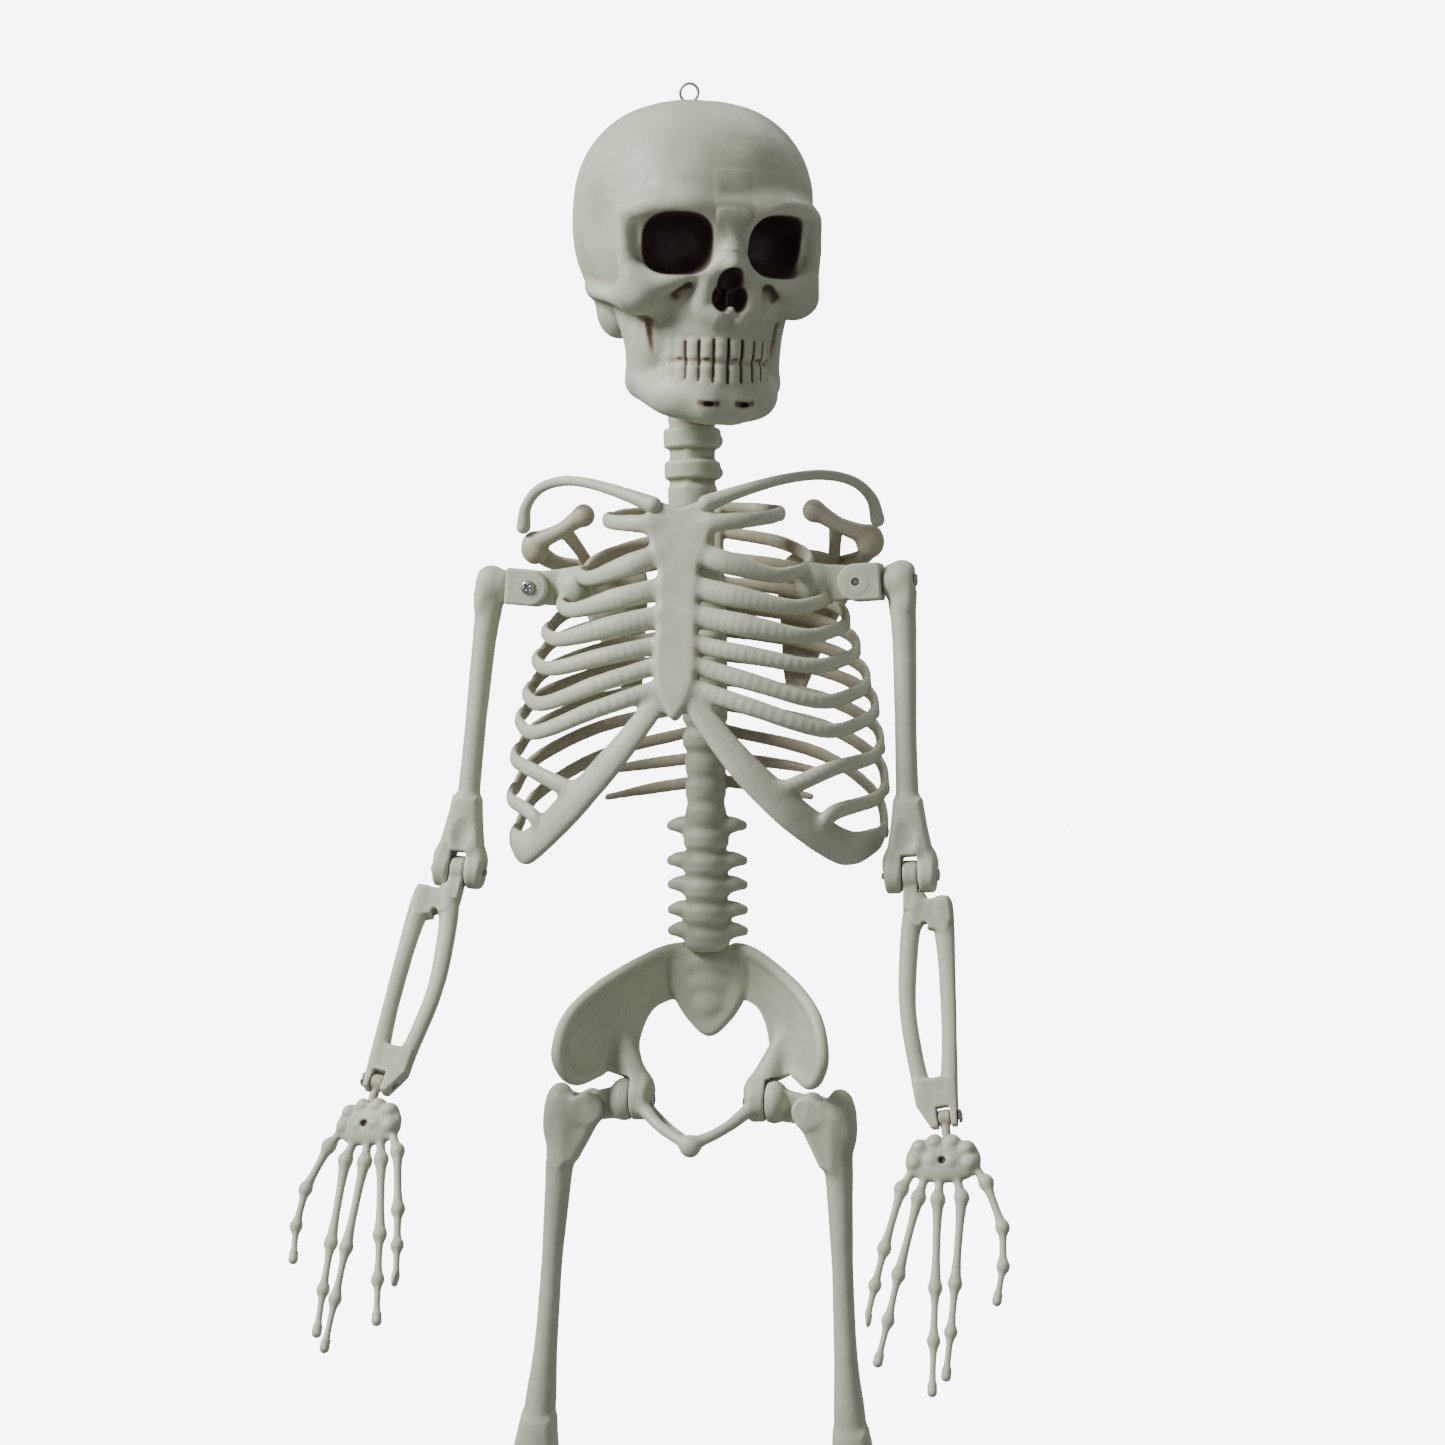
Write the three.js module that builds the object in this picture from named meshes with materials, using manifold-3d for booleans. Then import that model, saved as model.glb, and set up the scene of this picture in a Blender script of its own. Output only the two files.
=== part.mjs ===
// Posable hanging skeleton figure, 36 inch class, moulded in hard plastic with screwed hinge joints.
// Millimetres, +Z up, the figure faces -Y and its own left side is +X.
// The origin is the centre of the hanging eyelet above the skull, and the figure hangs below it.
import * as THREE from "three";
import { mergeVertices } from "three/addons/utils/BufferGeometryUtils.js";
import Module from "manifold-3d";

const wasm = await Module();
wasm.setup();

const DEG = Math.PI / 180;

// ---------------------------------------------------------------- driving dimensions

const GAP = 0.3; // clearance between pieces that touch
const RUN = 0.4; // clearance between a hinge tongue and its fork
const PIN = 1.5; // radius of hinge pins and screw shanks
const TIGHT = 1.8; // radius of a hole that carries a pin
const LOOSE = 2.1; // radius of a hole that turns on a pin
const HEAD = 3.2; // radius of a screw head
const HEAD_LENGTH = 1.8;
const TONGUE = 3.5; // half thickness of the hinge tongues

const EYELET = { ring: 4.5, wire: 0.75, shank: 0.9, foot: -17.5, nut: -12 };
const SKULL = { width: 116, depth: 138, height: 116, centreY: 2, centreZ: 46.5, wall: 3.5, split: 14 };
const NECK = { pivot: -110.2, radius: 12, ring: 14, foot: -203, hinge: -212, peg: 5.4 };
const SHOULDER = { x: 81, z: -240, reach: 21, cheek: 9 };
const ARM = { upper: 142, lower: 116, carry: 7, drift: 8 }; // the forearm leans out and the fingers lean back in
const SPINE = { y: 26, radius: 11.3, top: -230, foot: -421, pitch: 12.4 };
const SEAM = 5; // the Y level where the front and back of the rib cage meet
const BACK = { plate: 38, face: 45 }; // the strip down the back of the rib cage
const RIB = 3.3;
const HIP = { x: 34, y: 2, z: -492, reach: 21, drop: 4 };
const LEG = { upper: 200, lower: 188, shaft: 11, sole: 40 };

// Ribs 1 to 10, from the top: half width at the side, and the levels of the side and sternum ends.
const RIB_WIDTH = [42, 56, 66, 74, 79, 84, 88, 90.5, 92.5, 92];
const RIB_SIDE = [-206, -232, -246.5, -259.6, -273, -289, -302, -319.6, -339, -359.6];
const RIB_FRONT = [-213, -226, -242.6, -256, -269.4, -279, -290];

// How the figure is posed: degrees away from the straight hanging figure.
const POSE = {
  head: { turn: 28, nod: 7 },
  left: { abduct: 2.3, swing: 7, elbow: 8, bend: 12, twist: 0, hip: 0, splay: 3, knee: 2, ankle: 0 },
  right: { abduct: 5, swing: 8, elbow: 24, bend: -6, twist: 18, hip: 0, splay: 6, knee: 2, ankle: 0 },
};

// ---------------------------------------------------------------- materials

const plastic = (color, roughness) => new THREE.MeshStandardMaterial({ color, roughness, metalness: 0 });
const BONE = plastic(0xb6b9aa, 0.55);
const DARK_BONE = plastic(0xa09f90, 0.6);
const STEEL = new THREE.MeshStandardMaterial({ color: 0x9a9a98, roughness: 0.35, metalness: 1 });

// ---------------------------------------------------------------- solids

const V = (x, y, z) => new THREE.Vector3(x, y, z);

// A closed geometry as a solid that can be joined and cut.
function solid(geometry) {
  const bare = geometry.index ? geometry.toNonIndexed() : geometry.clone();
  bare.deleteAttribute("normal");
  bare.deleteAttribute("uv");
  const merged = mergeVertices(bare, 1e-4);
  return new wasm.Manifold(
    new wasm.Mesh({
      numProp: 3,
      vertProperties: merged.attributes.position.array,
      triVerts: new Uint32Array(merged.index.array),
    }),
  );
}

const join = (...solids) => solids.flat().reduce((a, b) => a.add(b));
const cut = (body, ...tools) => tools.flat().reduce((a, b) => a.subtract(b), body);

// The surface of a solid; side -1 gives its mirror image in X.
function surface(shape, side = 1) {
  const result = shape.getMesh();
  const corners = new Float32Array(result.vertProperties);
  const faces = new Uint32Array(result.triVerts);
  if (side < 0) {
    for (let i = 0; i < corners.length; i += 3) corners[i] = -corners[i];
    faces.reverse();
  }
  const geometry = new THREE.BufferGeometry();
  geometry.setAttribute("position", new THREE.BufferAttribute(corners, 3));
  geometry.setIndex(new THREE.BufferAttribute(faces, 1));
  return geometry;
}

function piece(name, shape, material, side = 1) {
  const geometry = surface(shape, side);
  geometry.computeVertexNormals();
  const mesh = new THREE.Mesh(geometry, material);
  mesh.name = name;
  return mesh;
}

function box(x0, x1, y0, y1, z0, z1) {
  const geometry = new THREE.BoxGeometry(x1 - x0, y1 - y0, z1 - z0);
  return solid(geometry.translate((x0 + x1) / 2, (y0 + y1) / 2, (z0 + z1) / 2));
}

function ball(centre, rx, ry, rz, around = 10, down = 6) {
  const geometry = new THREE.SphereGeometry(1, around, down).rotateX(Math.PI / 2);
  return solid(geometry.scale(rx, ry, rz).translate(centre.x, centre.y, centre.z));
}

// A straight round bar, r0 at the start and r1 at the end.
function bar(start, end, r0, r1 = r0, sides = 8) {
  const geometry = new THREE.CylinderGeometry(r1, r0, start.distanceTo(end), sides);
  const turn = new THREE.Quaternion().setFromUnitVectors(V(0, 1, 0), end.clone().sub(start).normalize());
  const middle = start.clone().add(end).multiplyScalar(0.5);
  return solid(geometry.applyQuaternion(turn).translate(middle.x, middle.y, middle.z));
}

const barX = (x0, x1, y, z, r, sides = 10) => bar(V(x0, y, z), V(x1, y, z), r, r, sides);
const barY = (y0, y1, x, z, r, sides = 10) => bar(V(x, y0, z), V(x, y1, z), r, r, sides);

// A round tube along a smooth curve through the points.
function tube(points, radius, steps = 6, sides = 6) {
  const section = new THREE.Shape();
  for (let i = 0; i < sides; i++) {
    const angle = (2 * Math.PI * i) / sides;
    section[i ? "lineTo" : "moveTo"](radius * Math.cos(angle), radius * Math.sin(angle));
  }
  section.closePath();
  const extrudePath = new THREE.CatmullRomCurve3(points);
  return solid(new THREE.ExtrudeGeometry(section, { steps, bevelEnabled: false, extrudePath }));
}

// A flat plate with an outline of [x, z] corners, from y0 to y1, then turned and moved.
function plate(outline, y0, y1, place = (geometry) => geometry) {
  const shape = new THREE.Shape(outline.map(([x, z]) => new THREE.Vector2(x, z)));
  const geometry = new THREE.ExtrudeGeometry(shape, { depth: y1 - y0, bevelEnabled: false });
  return solid(place(geometry.rotateX(Math.PI / 2).translate(0, y1, 0)));
}

// A body of revolution about Z from a list of [radius, z].
function lathe(profile, sides = 8, x = 0, y = 0) {
  const points = profile.map(([r, z]) => new THREE.Vector2(r, z));
  return solid(new THREE.LatheGeometry(points, sides).rotateX(Math.PI / 2).translate(x, y, 0));
}

// A screw or bolt with its head at the start and its shank running to the end.
function screw(start, end) {
  const way = end.clone().sub(start).normalize();
  const under = start.clone().addScaledVector(way, HEAD_LENGTH);
  const inside = start.clone().addScaledVector(way, HEAD_LENGTH / 2);
  return join(bar(start, under, HEAD), bar(inside, end, PIN, PIN, 6));
}

// ---------------------------------------------------------------- joints

const TURN = V(0, 0, 1);
const FLEX = V(-1, 0, 0); // swings a hanging limb forwards
const BEND_BACK = V(1, 0, 0);
const spread = (side) => V(0, -side, 0); // swings a hanging limb away from the body

// A group that pivots at a point; it stands at the posed angle, in degrees.
function pivot(name, place, axis, angle, ...parts) {
  const group = new THREE.Group();
  group.name = name;
  group.position.copy(place);
  group.setRotationFromAxisAngle(axis, angle * DEG);
  if (parts.length) group.add(...parts);
  return group;
}

// ---------------------------------------------------------------- skull, about the top of the neck

// The straight-up direction as seen by the nodded skull.
const upInSkull = V(0, 0, 1).applyAxisAngle(V(1, 0, 0), -POSE.head.nod * DEG);
const upBar = (z0, z1, r, sides = 12) =>
  bar(upInSkull.clone().multiplyScalar(z0), upInSkull.clone().multiplyScalar(z1), r, r, sides);

const SOCKET = { floor: -13, seat: -6.4, bottom: -6, top: -1.6, bore: 6.2, radius: 17 };

function teeth() {
  const row = [];
  for (const along of [-52, -37, -22, -7.5, 7.5, 22, 37, 52]) {
    const x = 24.5 * Math.sin(along * DEG);
    const y = -38 - 24.5 * Math.cos(along * DEG);
    row.push(bar(V(x, y, -8), V(x, y + 1.4, -31), 3.5, 3.2, 6));
  }
  return row;
}

function skullForm() {
  const cranium = ball(
    V(0, SKULL.centreY, SKULL.centreZ), SKULL.width / 2, SKULL.depth / 2, SKULL.height / 2, 20, 12);
  const parts = [cranium, ball(V(0, -36, 6), 28, 27.5, 32, 12, 8), ball(V(0, -44, -32), 23, 17, 16, 12, 6)];
  parts.push(bar(V(-33, -51, 52), V(33, -51, 52), 10, 10, 8));
  for (const side of [-1, 1]) {
    parts.push(bar(V(side * 13, -46, -35), V(side * 32, -14, -25), 10, 8.5));
    parts.push(bar(V(side * 32, -14, -27), V(side * 37, -4, 12), 8, 7));
    parts.push(ball(V(side * 35, -44, 10), 15, 14, 12, 8, 6));
    parts.push(bar(V(side * 43, -42, 8), V(side * 47, 8, 11), 5.5, 5.5, 6));
  }
  return join(parts);
}

function skull() {
  const hollow = ball(
    V(0, SKULL.centreY, SKULL.centreZ), SKULL.width / 2 - SKULL.wall, SKULL.depth / 2 - SKULL.wall,
    SKULL.height / 2 - SKULL.wall, 14, 8);
  const cups = [-1, 1].map((side) => ball(V(side * 23.5, -47, 34.5), 20, 17, 18.5, 8, 6));
  const orbits = [-1, 1].map((side) => ball(V(side * 23.5, -57, 34.5), 16.5, 18, 15.5, 12, 8));
  const nose = [ball(V(0, -66, 9), 9, 12, 8, 8, 6), ball(V(0, -66, 17), 6, 12, 8, 8, 6)];
  const seat = upBar(SOCKET.floor, SOCKET.seat, SOCKET.radius + 3, 14);
  const shell = cut(
    join(cut(skullForm(), hollow), cups, seat, teeth()), orbits, nose, upBar(-30, 20, 8),
    upBar(SOCKET.seat, 8, SOCKET.radius + 1.5, 14), upBar(80, 130, 1.6, 8));
  const half = (y0, y1) => shell.intersect(box(-80, 80, y0, y1, -80, 130));
  return [
    piece("skull_face", half(-90, SKULL.split - GAP / 2), BONE),
    piece("skull_back", half(SKULL.split + GAP / 2, 90), BONE),
  ];
}

function neckSocket() {
  const { bottom, top, bore, radius } = SOCKET;
  return lathe([[bore, bottom], [radius, bottom], [radius, top], [bore, top], [bore, bottom]], 14);
}

function eyelet() {
  const ring = solid(new THREE.TorusGeometry(EYELET.ring, EYELET.wire, 5, 12).rotateX(Math.PI / 2));
  return join(ring, bar(V(0, 0, -EYELET.ring), V(0, 0, EYELET.foot), EYELET.shank, EYELET.shank, 6));
}

function eyeletNut() {
  const top = EYELET.nut;
  return lathe([[1.4, top - 2.4], [3.6, top - 2.4], [3.6, top], [1.4, top], [1.4, top - 2.4]], 6);
}

function head() {
  const lift = V(0, 0, -NECK.pivot);
  const loop = pivot("eyelet_place", lift, TURN, -POSE.head.turn,
    piece("hanging_eyelet", eyelet(), STEEL), piece("eyelet_nut", eyeletNut(), STEEL));
  const nodded = pivot("skull_nod", V(0, 0, 0), V(1, 0, 0), POSE.head.nod, ...skull());
  return pivot("head_turn", V(0, 0, NECK.pivot), TURN, POSE.head.turn, nodded,
    piece("neck_socket", neckSocket(), DARK_BONE), loop);
}

// ---------------------------------------------------------------- neck

// The column turns in the skull on its top peg and nods on the tongue at its foot.
function neck() {
  const { radius: r, ring, foot, peg, hinge } = NECK;
  const top = NECK.pivot - 1.2;
  const column = lathe(
    [[0, foot], [r, foot], [r, -190], [ring - 1, -189], [ring - 1, -181], [r - 1, -179], [r - 1, -172], [ring, -170],
      [ring, -162], [r - 1, -160], [r - 1, -153], [ring - 1, -151], [ring - 1, -144], [r, -142], [r - 1, -134],
      [peg, -134], [peg, top], [0, top]], 12);
  const tongue = join(barX(-TONGUE, TONGUE, 0, hinge, 7), box(-TONGUE, TONGUE, -6, 6, hinge, foot + 1));
  const screwHole = bar(V(0, 0, top + 2), V(0, 0, top - 14), TIGHT);
  const cap = bar(V(0, 0, top + GAP), V(0, 0, top + GAP + 2.2), 9, 9, 12);
  return [
    piece("neck_column", cut(join(column, tongue), screwHole, barX(-10, 10, 0, hinge, LOOSE, 8)), BONE),
    piece("neck_screw", join(cap, bar(V(0, 0, top + 1), V(0, 0, top - 12), PIN)), STEEL),
  ];
}

// ---------------------------------------------------------------- rib cage

const sternumY = (z) => -27 + 0.196 * (z + 201);

// Where the lower ribs run into the costal margin.
const MARGIN = [[6, -46, -294], [32, -49, -326], [56, -43, -350], [77, -28, -366], [89, -9, -364], [92, SEAM, -359.6]];
const LOW_RIB_END = [[46, -46, -341], [67, -36, -358]];

function frontRib(n, side) {
  const w = RIB_WIDTH[n];
  const z = RIB_SIDE[n];
  const low = z - 4 - 0.8 * n;
  const y = sternumY(RIB_FRONT[Math.min(n, RIB_FRONT.length - 1)]);
  const points = [V(side * w, SEAM + 1, z), V(side * 0.97 * w, -11, (z + low) / 2), V(side * 0.8 * w, y * 0.8, low)];
  if (n < RIB_FRONT.length) {
    points.push(V(side * 0.45 * w, y - 2, (low + RIB_FRONT[n]) / 2), V(side * 8, y, RIB_FRONT[n]));
  } else {
    const [ex, ey, ez] = LOW_RIB_END[n - RIB_FRONT.length];
    points.push(V(side * ex, ey, ez));
  }
  return tube(points, RIB, 6, 5);
}

const ribBack = (n) => -199.3 - SPINE.pitch * n;

function backRib(n, side) {
  const w = RIB_WIDTH[n];
  const z = RIB_SIDE[n];
  const rise = ribBack(n) - z;
  return tube(
    [V(side * w, SEAM - 1, z), V(side * 0.93 * w, 22, z + 0.35 * rise), V(side * 0.6 * w, 40, z + 0.75 * rise),
      V(side * 6, BACK.plate + 3.5, ribBack(n))],
    RIB, 4, 5);
}

// The side tongue that the shoulder knuckle hinges on.
function shoulderLug(side) {
  const { x, z } = SHOULDER;
  const arm = plate([[side * (x - 29), z + 10], [side * (x - 17), z - 9], [side * x, z - 8], [side * x, z + 8]],
    -TONGUE, TONGUE);
  return join(arm, barY(-TONGUE, TONGUE, side * x, z, 8));
}

function ribCageFront() {
  const lean = -11.1 * DEG;
  const sternum = plate(
    [[-15, 0], [-17, -20], [-12, -32], [-14, -84], [-8, -98], [0, -104], [8, -98], [14, -84], [12, -32], [17, -20],
      [15, 0]],
    -3.5, 3.5, (geometry) => geometry.rotateX(lean).translate(0, -27, -201));
  const parts = [sternum];
  const holes = [];
  for (const side of [-1, 1]) {
    for (let n = 0; n < RIB_FRONT.length + LOW_RIB_END.length; n++) parts.push(frontRib(n, side));
    parts.push(tube(MARGIN.map(([x, y, z]) => V(side * x, y, z)), 5, 8), shoulderLug(side));
    holes.push(barY(-10, 10, side * SHOULDER.x, SHOULDER.z, LOOSE, 8));
  }
  return cut(join(parts).intersect(box(-120, 120, -90, SEAM - GAP / 2, -400, -190)), holes);
}

const CAGE_SCREWS = [-240, -318];
const PELVIS_SCREW = -415;

function ribCageBack() {
  const parts = [box(-7, 7, BACK.plate, BACK.face, -345, -200)];
  for (const side of [-1, 1]) {
    for (let n = 0; n < RIB_WIDTH.length; n++) parts.push(backRib(n, side));
    for (const [z, reach] of [[-324.5, 60], [-336.5, 52]]) {
      parts.push(tube([V(side * 6, 41.5, z), V(side * 0.6 * reach, 42, z - 4), V(side * reach, 33, z - 8)], 2.8, 3, 5));
    }
  }
  const holes = CAGE_SCREWS.map((z) => barY(30, 50, 0, z, TIGHT, 8));
  return cut(join(parts).intersect(box(-120, 120, SEAM + GAP / 2, 90, -400, -190)), holes);
}

// ---------------------------------------------------------------- spine

const LUMBAR = [-359, -376.5, -388.5, -401, -411.5]; // levels of the winged lumbar vertebrae

function spine() {
  const { y, radius: r, top, foot, pitch } = SPINE;
  const profile = [[0, foot]];
  for (let z = foot; z + pitch < top; z += pitch) profile.push([r, z], [r, z + 7.4], [r - 2, z + 9.6]);
  profile.push([r - 2, top], [0, top]);
  const riser = bar(V(0, y - 2, -236), V(0, 4, -222), 9, 7.5);
  const fork = join(barX(-9.5, 9.5, 0, NECK.hinge, 7), box(-9.5, 9.5, -5, 8, -226, NECK.hinge));
  const slot = box(-TONGUE - RUN, TONGUE + RUN, -14, 14, NECK.hinge - 7.6, NECK.hinge + 12);
  const wings = LUMBAR.flatMap((z) =>
    [-1, 1].map((side) => bar(V(side * 6, y, z), V(side * 18.5, y + 2, z + 1), 4.5, 1.6, 5)));
  const holes = [...CAGE_SCREWS, PELVIS_SCREW].map((z) => barY(y - 2, 50, 0, z, TIGHT, 8));
  return cut(
    join(lathe(profile, 8, 0, y), riser, fork, wings), slot, barX(-12, 12, 0, NECK.hinge, TIGHT, 8), holes);
}

// ---------------------------------------------------------------- shoulder girdle, left side

function scapula() {
  const blade = plate(
    [[66, -226], [46, -222], [34, -232], [36, -286], [44, -296], [58, -262], [72, -236]], 46.5, 49.5);
  const ridge = tube([V(40, 48, -236), V(62, 47, -229), V(78, 34, -226), V(84, 20, -219)], 4, 4, 5);
  const coracoid = tube([V(62, 47, -230), V(64, 30, -219), V(68, 16, -212)], 3.4, 3, 5);
  const beak = tube([V(76, 16, -215), V(68, 15, -210), V(58, 12, -203)], 3.6, 3, 5);
  return join(blade, ridge, ball(V(84, 18, -219), 7.5, 7.5, 8.5), coracoid, beak);
}

function clavicle() {
  return tube(
    [V(16, -31, -199), V(26, -27, -196.5), V(46, -15, -190.5), V(66, -1, -188.5), V(80, 6, -192), V(87, 12, -207)],
    2.7, 10);
}

// ---------------------------------------------------------------- pelvis

// An iliac wing runs outwards and forwards from the sacrum; the outline is [x, z] on the left side.
const WING = [
  [14, -420], [24, -422], [45, -435], [60, -449], [66, -466], [63, -477], [57, -481], [48, -478], [31, -482],
  [27, -466], [22, -450], [14, -442],
];

function wing(side) {
  const flare = 46 * DEG;
  const outline = WING.map(([x, z]) => [side * ((x - 16) / Math.cos(flare)), z]);
  return plate(outline, -2.5, 2.5, (geometry) => geometry.rotateZ(-side * flare).translate(side * 16, 31, 0));
}

function pelvis() {
  const { x, y, z } = HIP;
  const sacrum = plate([[-17, -422], [-20, -440], [-8, -458], [0, -462], [8, -458], [20, -440], [17, -422]], 25, 38.5);
  const tab = box(-8, 8, 38, 44, -450, -407);
  const parts = [sacrum, tab, ball(V(0, -20, -511), 7, 5, 7, 8, 4)];
  const holes = [barY(30, 50, 0, PELVIS_SCREW, TIGHT, 8)];
  for (const side of [-1, 1]) {
    parts.push(wing(side));
    parts.push(barX(side * 24, side * (x - RUN), y, z, 10));
    parts.push(bar(V(side * 27, 3, z + 3), V(side * 27, 15, z + 24), 5, 6));
    parts.push(tube([V(side * 29, -2, z - 2), V(side * 18, -13, -503), V(side * 2, -21, -509)], 3.6, 4));
    parts.push(tube([V(side * 29, 9, z - 2), V(side * 22, 6, -500), V(side * 12, -6, -505), V(side * 2, -18, -509)],
      2.6, 4));
    holes.push(barX(side * 15, side * 40, y, z, TIGHT, 8));
  }
  return cut(join(parts), holes);
}

// ---------------------------------------------------------------- arm, left side

function shoulderKnuckle() {
  const { cheek } = SHOULDER;
  const inner = TONGUE + RUN;
  const sidePlate = (y0, y1) => join(barY(y0, y1, 0, 0, cheek), box(0, 12, y0, y1, -cheek, cheek));
  const body = join(sidePlate(-cheek, -inner), sidePlate(inner, cheek), box(8.8, 12, -cheek, cheek, -cheek, cheek));
  return cut(body, barY(-12, 12, 0, 0, TIGHT, 8), barX(5, 15, 0, 0, TIGHT, 8));
}

function humerus() {
  const length = ARM.upper;
  const top = join(barX(12 + RUN - SHOULDER.reach, 6, 0, 0, 8.5), ball(V(0.5, 0, -2), 5.5, 8, 9));
  const shaft = lathe(
    [[0, 14 - length], [9, 14 - length], [6.4, 40 - length], [5.6, -length / 2], [6.2, -32], [7.4, -5], [0, -5]]);
  const flare = plate([[-7, 34 - length], [-12, 5 - length], [12, 5 - length], [7, 34 - length]], -7.5, 7.5);
  const slot = box(-TONGUE - RUN, TONGUE + RUN, -14, 14, -length - 14, 9 - length);
  return cut(
    join(top, shaft, flare, barX(-12, 12, 0, -length, 8.8)), slot, barX(-12, 10, 0, 0, LOOSE, 8),
    barX(-15, 15, 0, -length, TIGHT, 8));
}

// Ulna and radius in one moulding, leaning outwards by the carrying angle below the elbow tongue; the
// fork at the foot is the wrist.
function forearm() {
  const length = ARM.lower;
  const tongue = join(barX(-TONGUE, TONGUE, 0, 0, 7.4), box(-TONGUE, TONGUE, -4.5, 4.5, -18, 0));
  const ulna = tube([V(0, 0, -13), V(-5, 0, -32), V(-9.5, 0, -66), V(-8, 0, 10 - length)], 4.8, 5);
  const radius = tube([V(12, 0, -15), V(11, 0, -44), V(8.5, 0, -76), V(4, 0, 10 - length)], 5.2, 5);
  const topBridge = box(-3, 16, -4.5, 4.5, -24, -13);
  const footBridge = box(-12, 8, -4.5, 4.5, 7 - length, 18 - length);
  const fork = box(-6.4, 6.4, -4.5, 4.5, -length - 5, 14 - length);
  const slot = box(-3.1, 3.1, -8, 8, -length - 8, 5 - length);
  const bones = cut(join(ulna, radius, topBridge, footBridge, fork), slot, barX(-9, 9, 0, -length, TIGHT, 8));
  const carried = solid(surface(bones).rotateY(-ARM.carry * DEG));
  return cut(join(tongue, carried), barX(-9, 9, 0, 0, LOOSE, 8));
}

const STALK = 2.1;

function wristLink() {
  const eye = join(barX(-2.7, 2.7, 0, 0, 3.9, 10), bar(V(0, 0, -2), V(0, 0, -16), STALK));
  return cut(eye, barX(-5, 5, 0, 0, LOOSE, 8));
}

// Finger rays as [x, z] from the wrist: little, ring, middle and index fingers, then the thumb.
const RAYS = [
  [[-12, -22], [-19, -33], [-26, -62], [-33, -96]],
  [[-7, -24], [-11, -36], [-19, -74], [-27, -114]],
  [[-1, -24], [-2, -38], [-2, -80], [-2, -127]],
  [[5, -24], [9, -38], [7, -78], [4, -120]],
  [[12, -20], [20, -31], [28, -52], [26, -86]],
];

function hand() {
  const rays = RAYS.map((ray) => tube(ray.map(([x, z]) => V(x, 0, z)), 2.5, 4, 5));
  const palm = ball(V(0, 0, -22), 19, 5.5, 12);
  const leaning = solid(surface(join(palm, rays)).rotateY(ARM.drift * DEG));
  return cut(leaning, bar(V(0, 0, -5), V(0, 0, -17.5), STALK + 0.7));
}

function arm(name, side) {
  const pose = POSE[name];
  const { reach, cheek } = SHOULDER;
  const make = (part, shape, material = BONE) => piece(`${name}_${part}`, shape, material, side);
  const wrist = V(0, 0, -ARM.lower);
  // The pivot screw goes in from the front on the right shoulder and from behind on the left.
  const face = side > 0 ? 1 : -1;
  const palm = make("hand", hand());
  const twist = pivot(`${name}_wrist_twist`, V(0, 0, 0), TURN, side * pose.twist, palm);
  const bend = pivot(`${name}_wrist_bend`, wrist, FLEX, pose.bend, make("wrist_link", wristLink(), DARK_BONE), twist);
  const carried = pivot(`${name}_carry`, V(0, 0, 0), spread(side), ARM.carry,
    make("wrist_pin", screw(V(6.7 + HEAD_LENGTH, 0, -ARM.lower), V(-7.5, 0, -ARM.lower)), STEEL), bend);
  const elbow = pivot(`${name}_elbow`, V(0, 0, -ARM.upper), FLEX, pose.elbow, make("forearm", forearm()), carried);
  const swing = pivot(`${name}_shoulder_swing`, V(side * reach, 0, 0), FLEX, pose.swing,
    make("humerus", humerus()),
    make("elbow_bolt", screw(V(12.3 + HEAD_LENGTH, 0, -ARM.upper), V(-14, 0, -ARM.upper)), STEEL), elbow);
  const headFace = cheek + GAP + HEAD_LENGTH;
  return pivot(`${name}_shoulder_spread`, V(side * SHOULDER.x, 0, SHOULDER.z), spread(side), pose.abduct,
    make("shoulder_knuckle", shoulderKnuckle()),
    make("shoulder_pivot_screw", screw(V(0, face * headFace, 0), V(0, -face * (cheek - 0.5), 0)), STEEL),
    make("shoulder_swing_screw", screw(V(reach + 6.3 + HEAD_LENGTH, 0, 0), V(10, 0, 0)), STEEL), swing);
}

// ---------------------------------------------------------------- leg, left side

function hipKnuckle() {
  const { reach, drop } = HIP;
  const boss = cut(join(ball(V(3.5, 0, 0), 7.5, 10, 10.5), barX(0, 5, 0, 0, 8.5)), box(-9, 0, -12, 12, -12, 12));
  const tongue = plate([[5, 7], [5, -9], [reach, -drop - 7], [reach, 7 - drop]], -TONGUE, TONGUE);
  return cut(
    join(boss, tongue, barY(-TONGUE, TONGUE, reach, -drop, 7)), barX(-3, 12, 0, 0, LOOSE, 8),
    barY(-8, 8, reach, -drop, LOOSE, 8));
}

function femur() {
  const inner = TONGUE + RUN;
  const x = LEG.shaft;
  const length = LEG.upper;
  const cheeks = join(
    barY(-8.5, 8.5, 0, 0, 8), plate([[0, 7], [-5, -6], [x - 7, -26], [x, -26], [x, 4]], -8.5, 8.5));
  const trochanter = join(ball(V(x + 3, 0, 0), 6.5, 8, 8), bar(V(x + 1, 0, -3), V(x, 0, -36), 8, 7.4));
  const shaft = lathe(
    [[0, 16 - length], [10, 16 - length], [7.4, 42 - length], [6, -length / 2], [7.2, -30], [0, -30]], 8, x);
  const flare = plate([[x - 8, 36 - length], [x - 15, 5 - length], [x + 15, 5 - length], [x + 8, 36 - length]], -9, 9);
  const topSlot = join(box(-20, 5, -inner, inner, -8, 14), barY(-inner, inner, 0, 0, 9.4));
  const kneeSlot = box(x - 5 - RUN, x + 5 + RUN, -16, 16, -length - 16, 11 - length);
  return cut(
    join(cheeks, trochanter, shaft, flare, barX(x - 15, x + 15, 0, -length, 10.5)), topSlot, kneeSlot,
    barY(-12, 12, 0, 0, TIGHT, 8), barX(x - 20, x + 20, 0, -length, TIGHT, 8));
}

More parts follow.
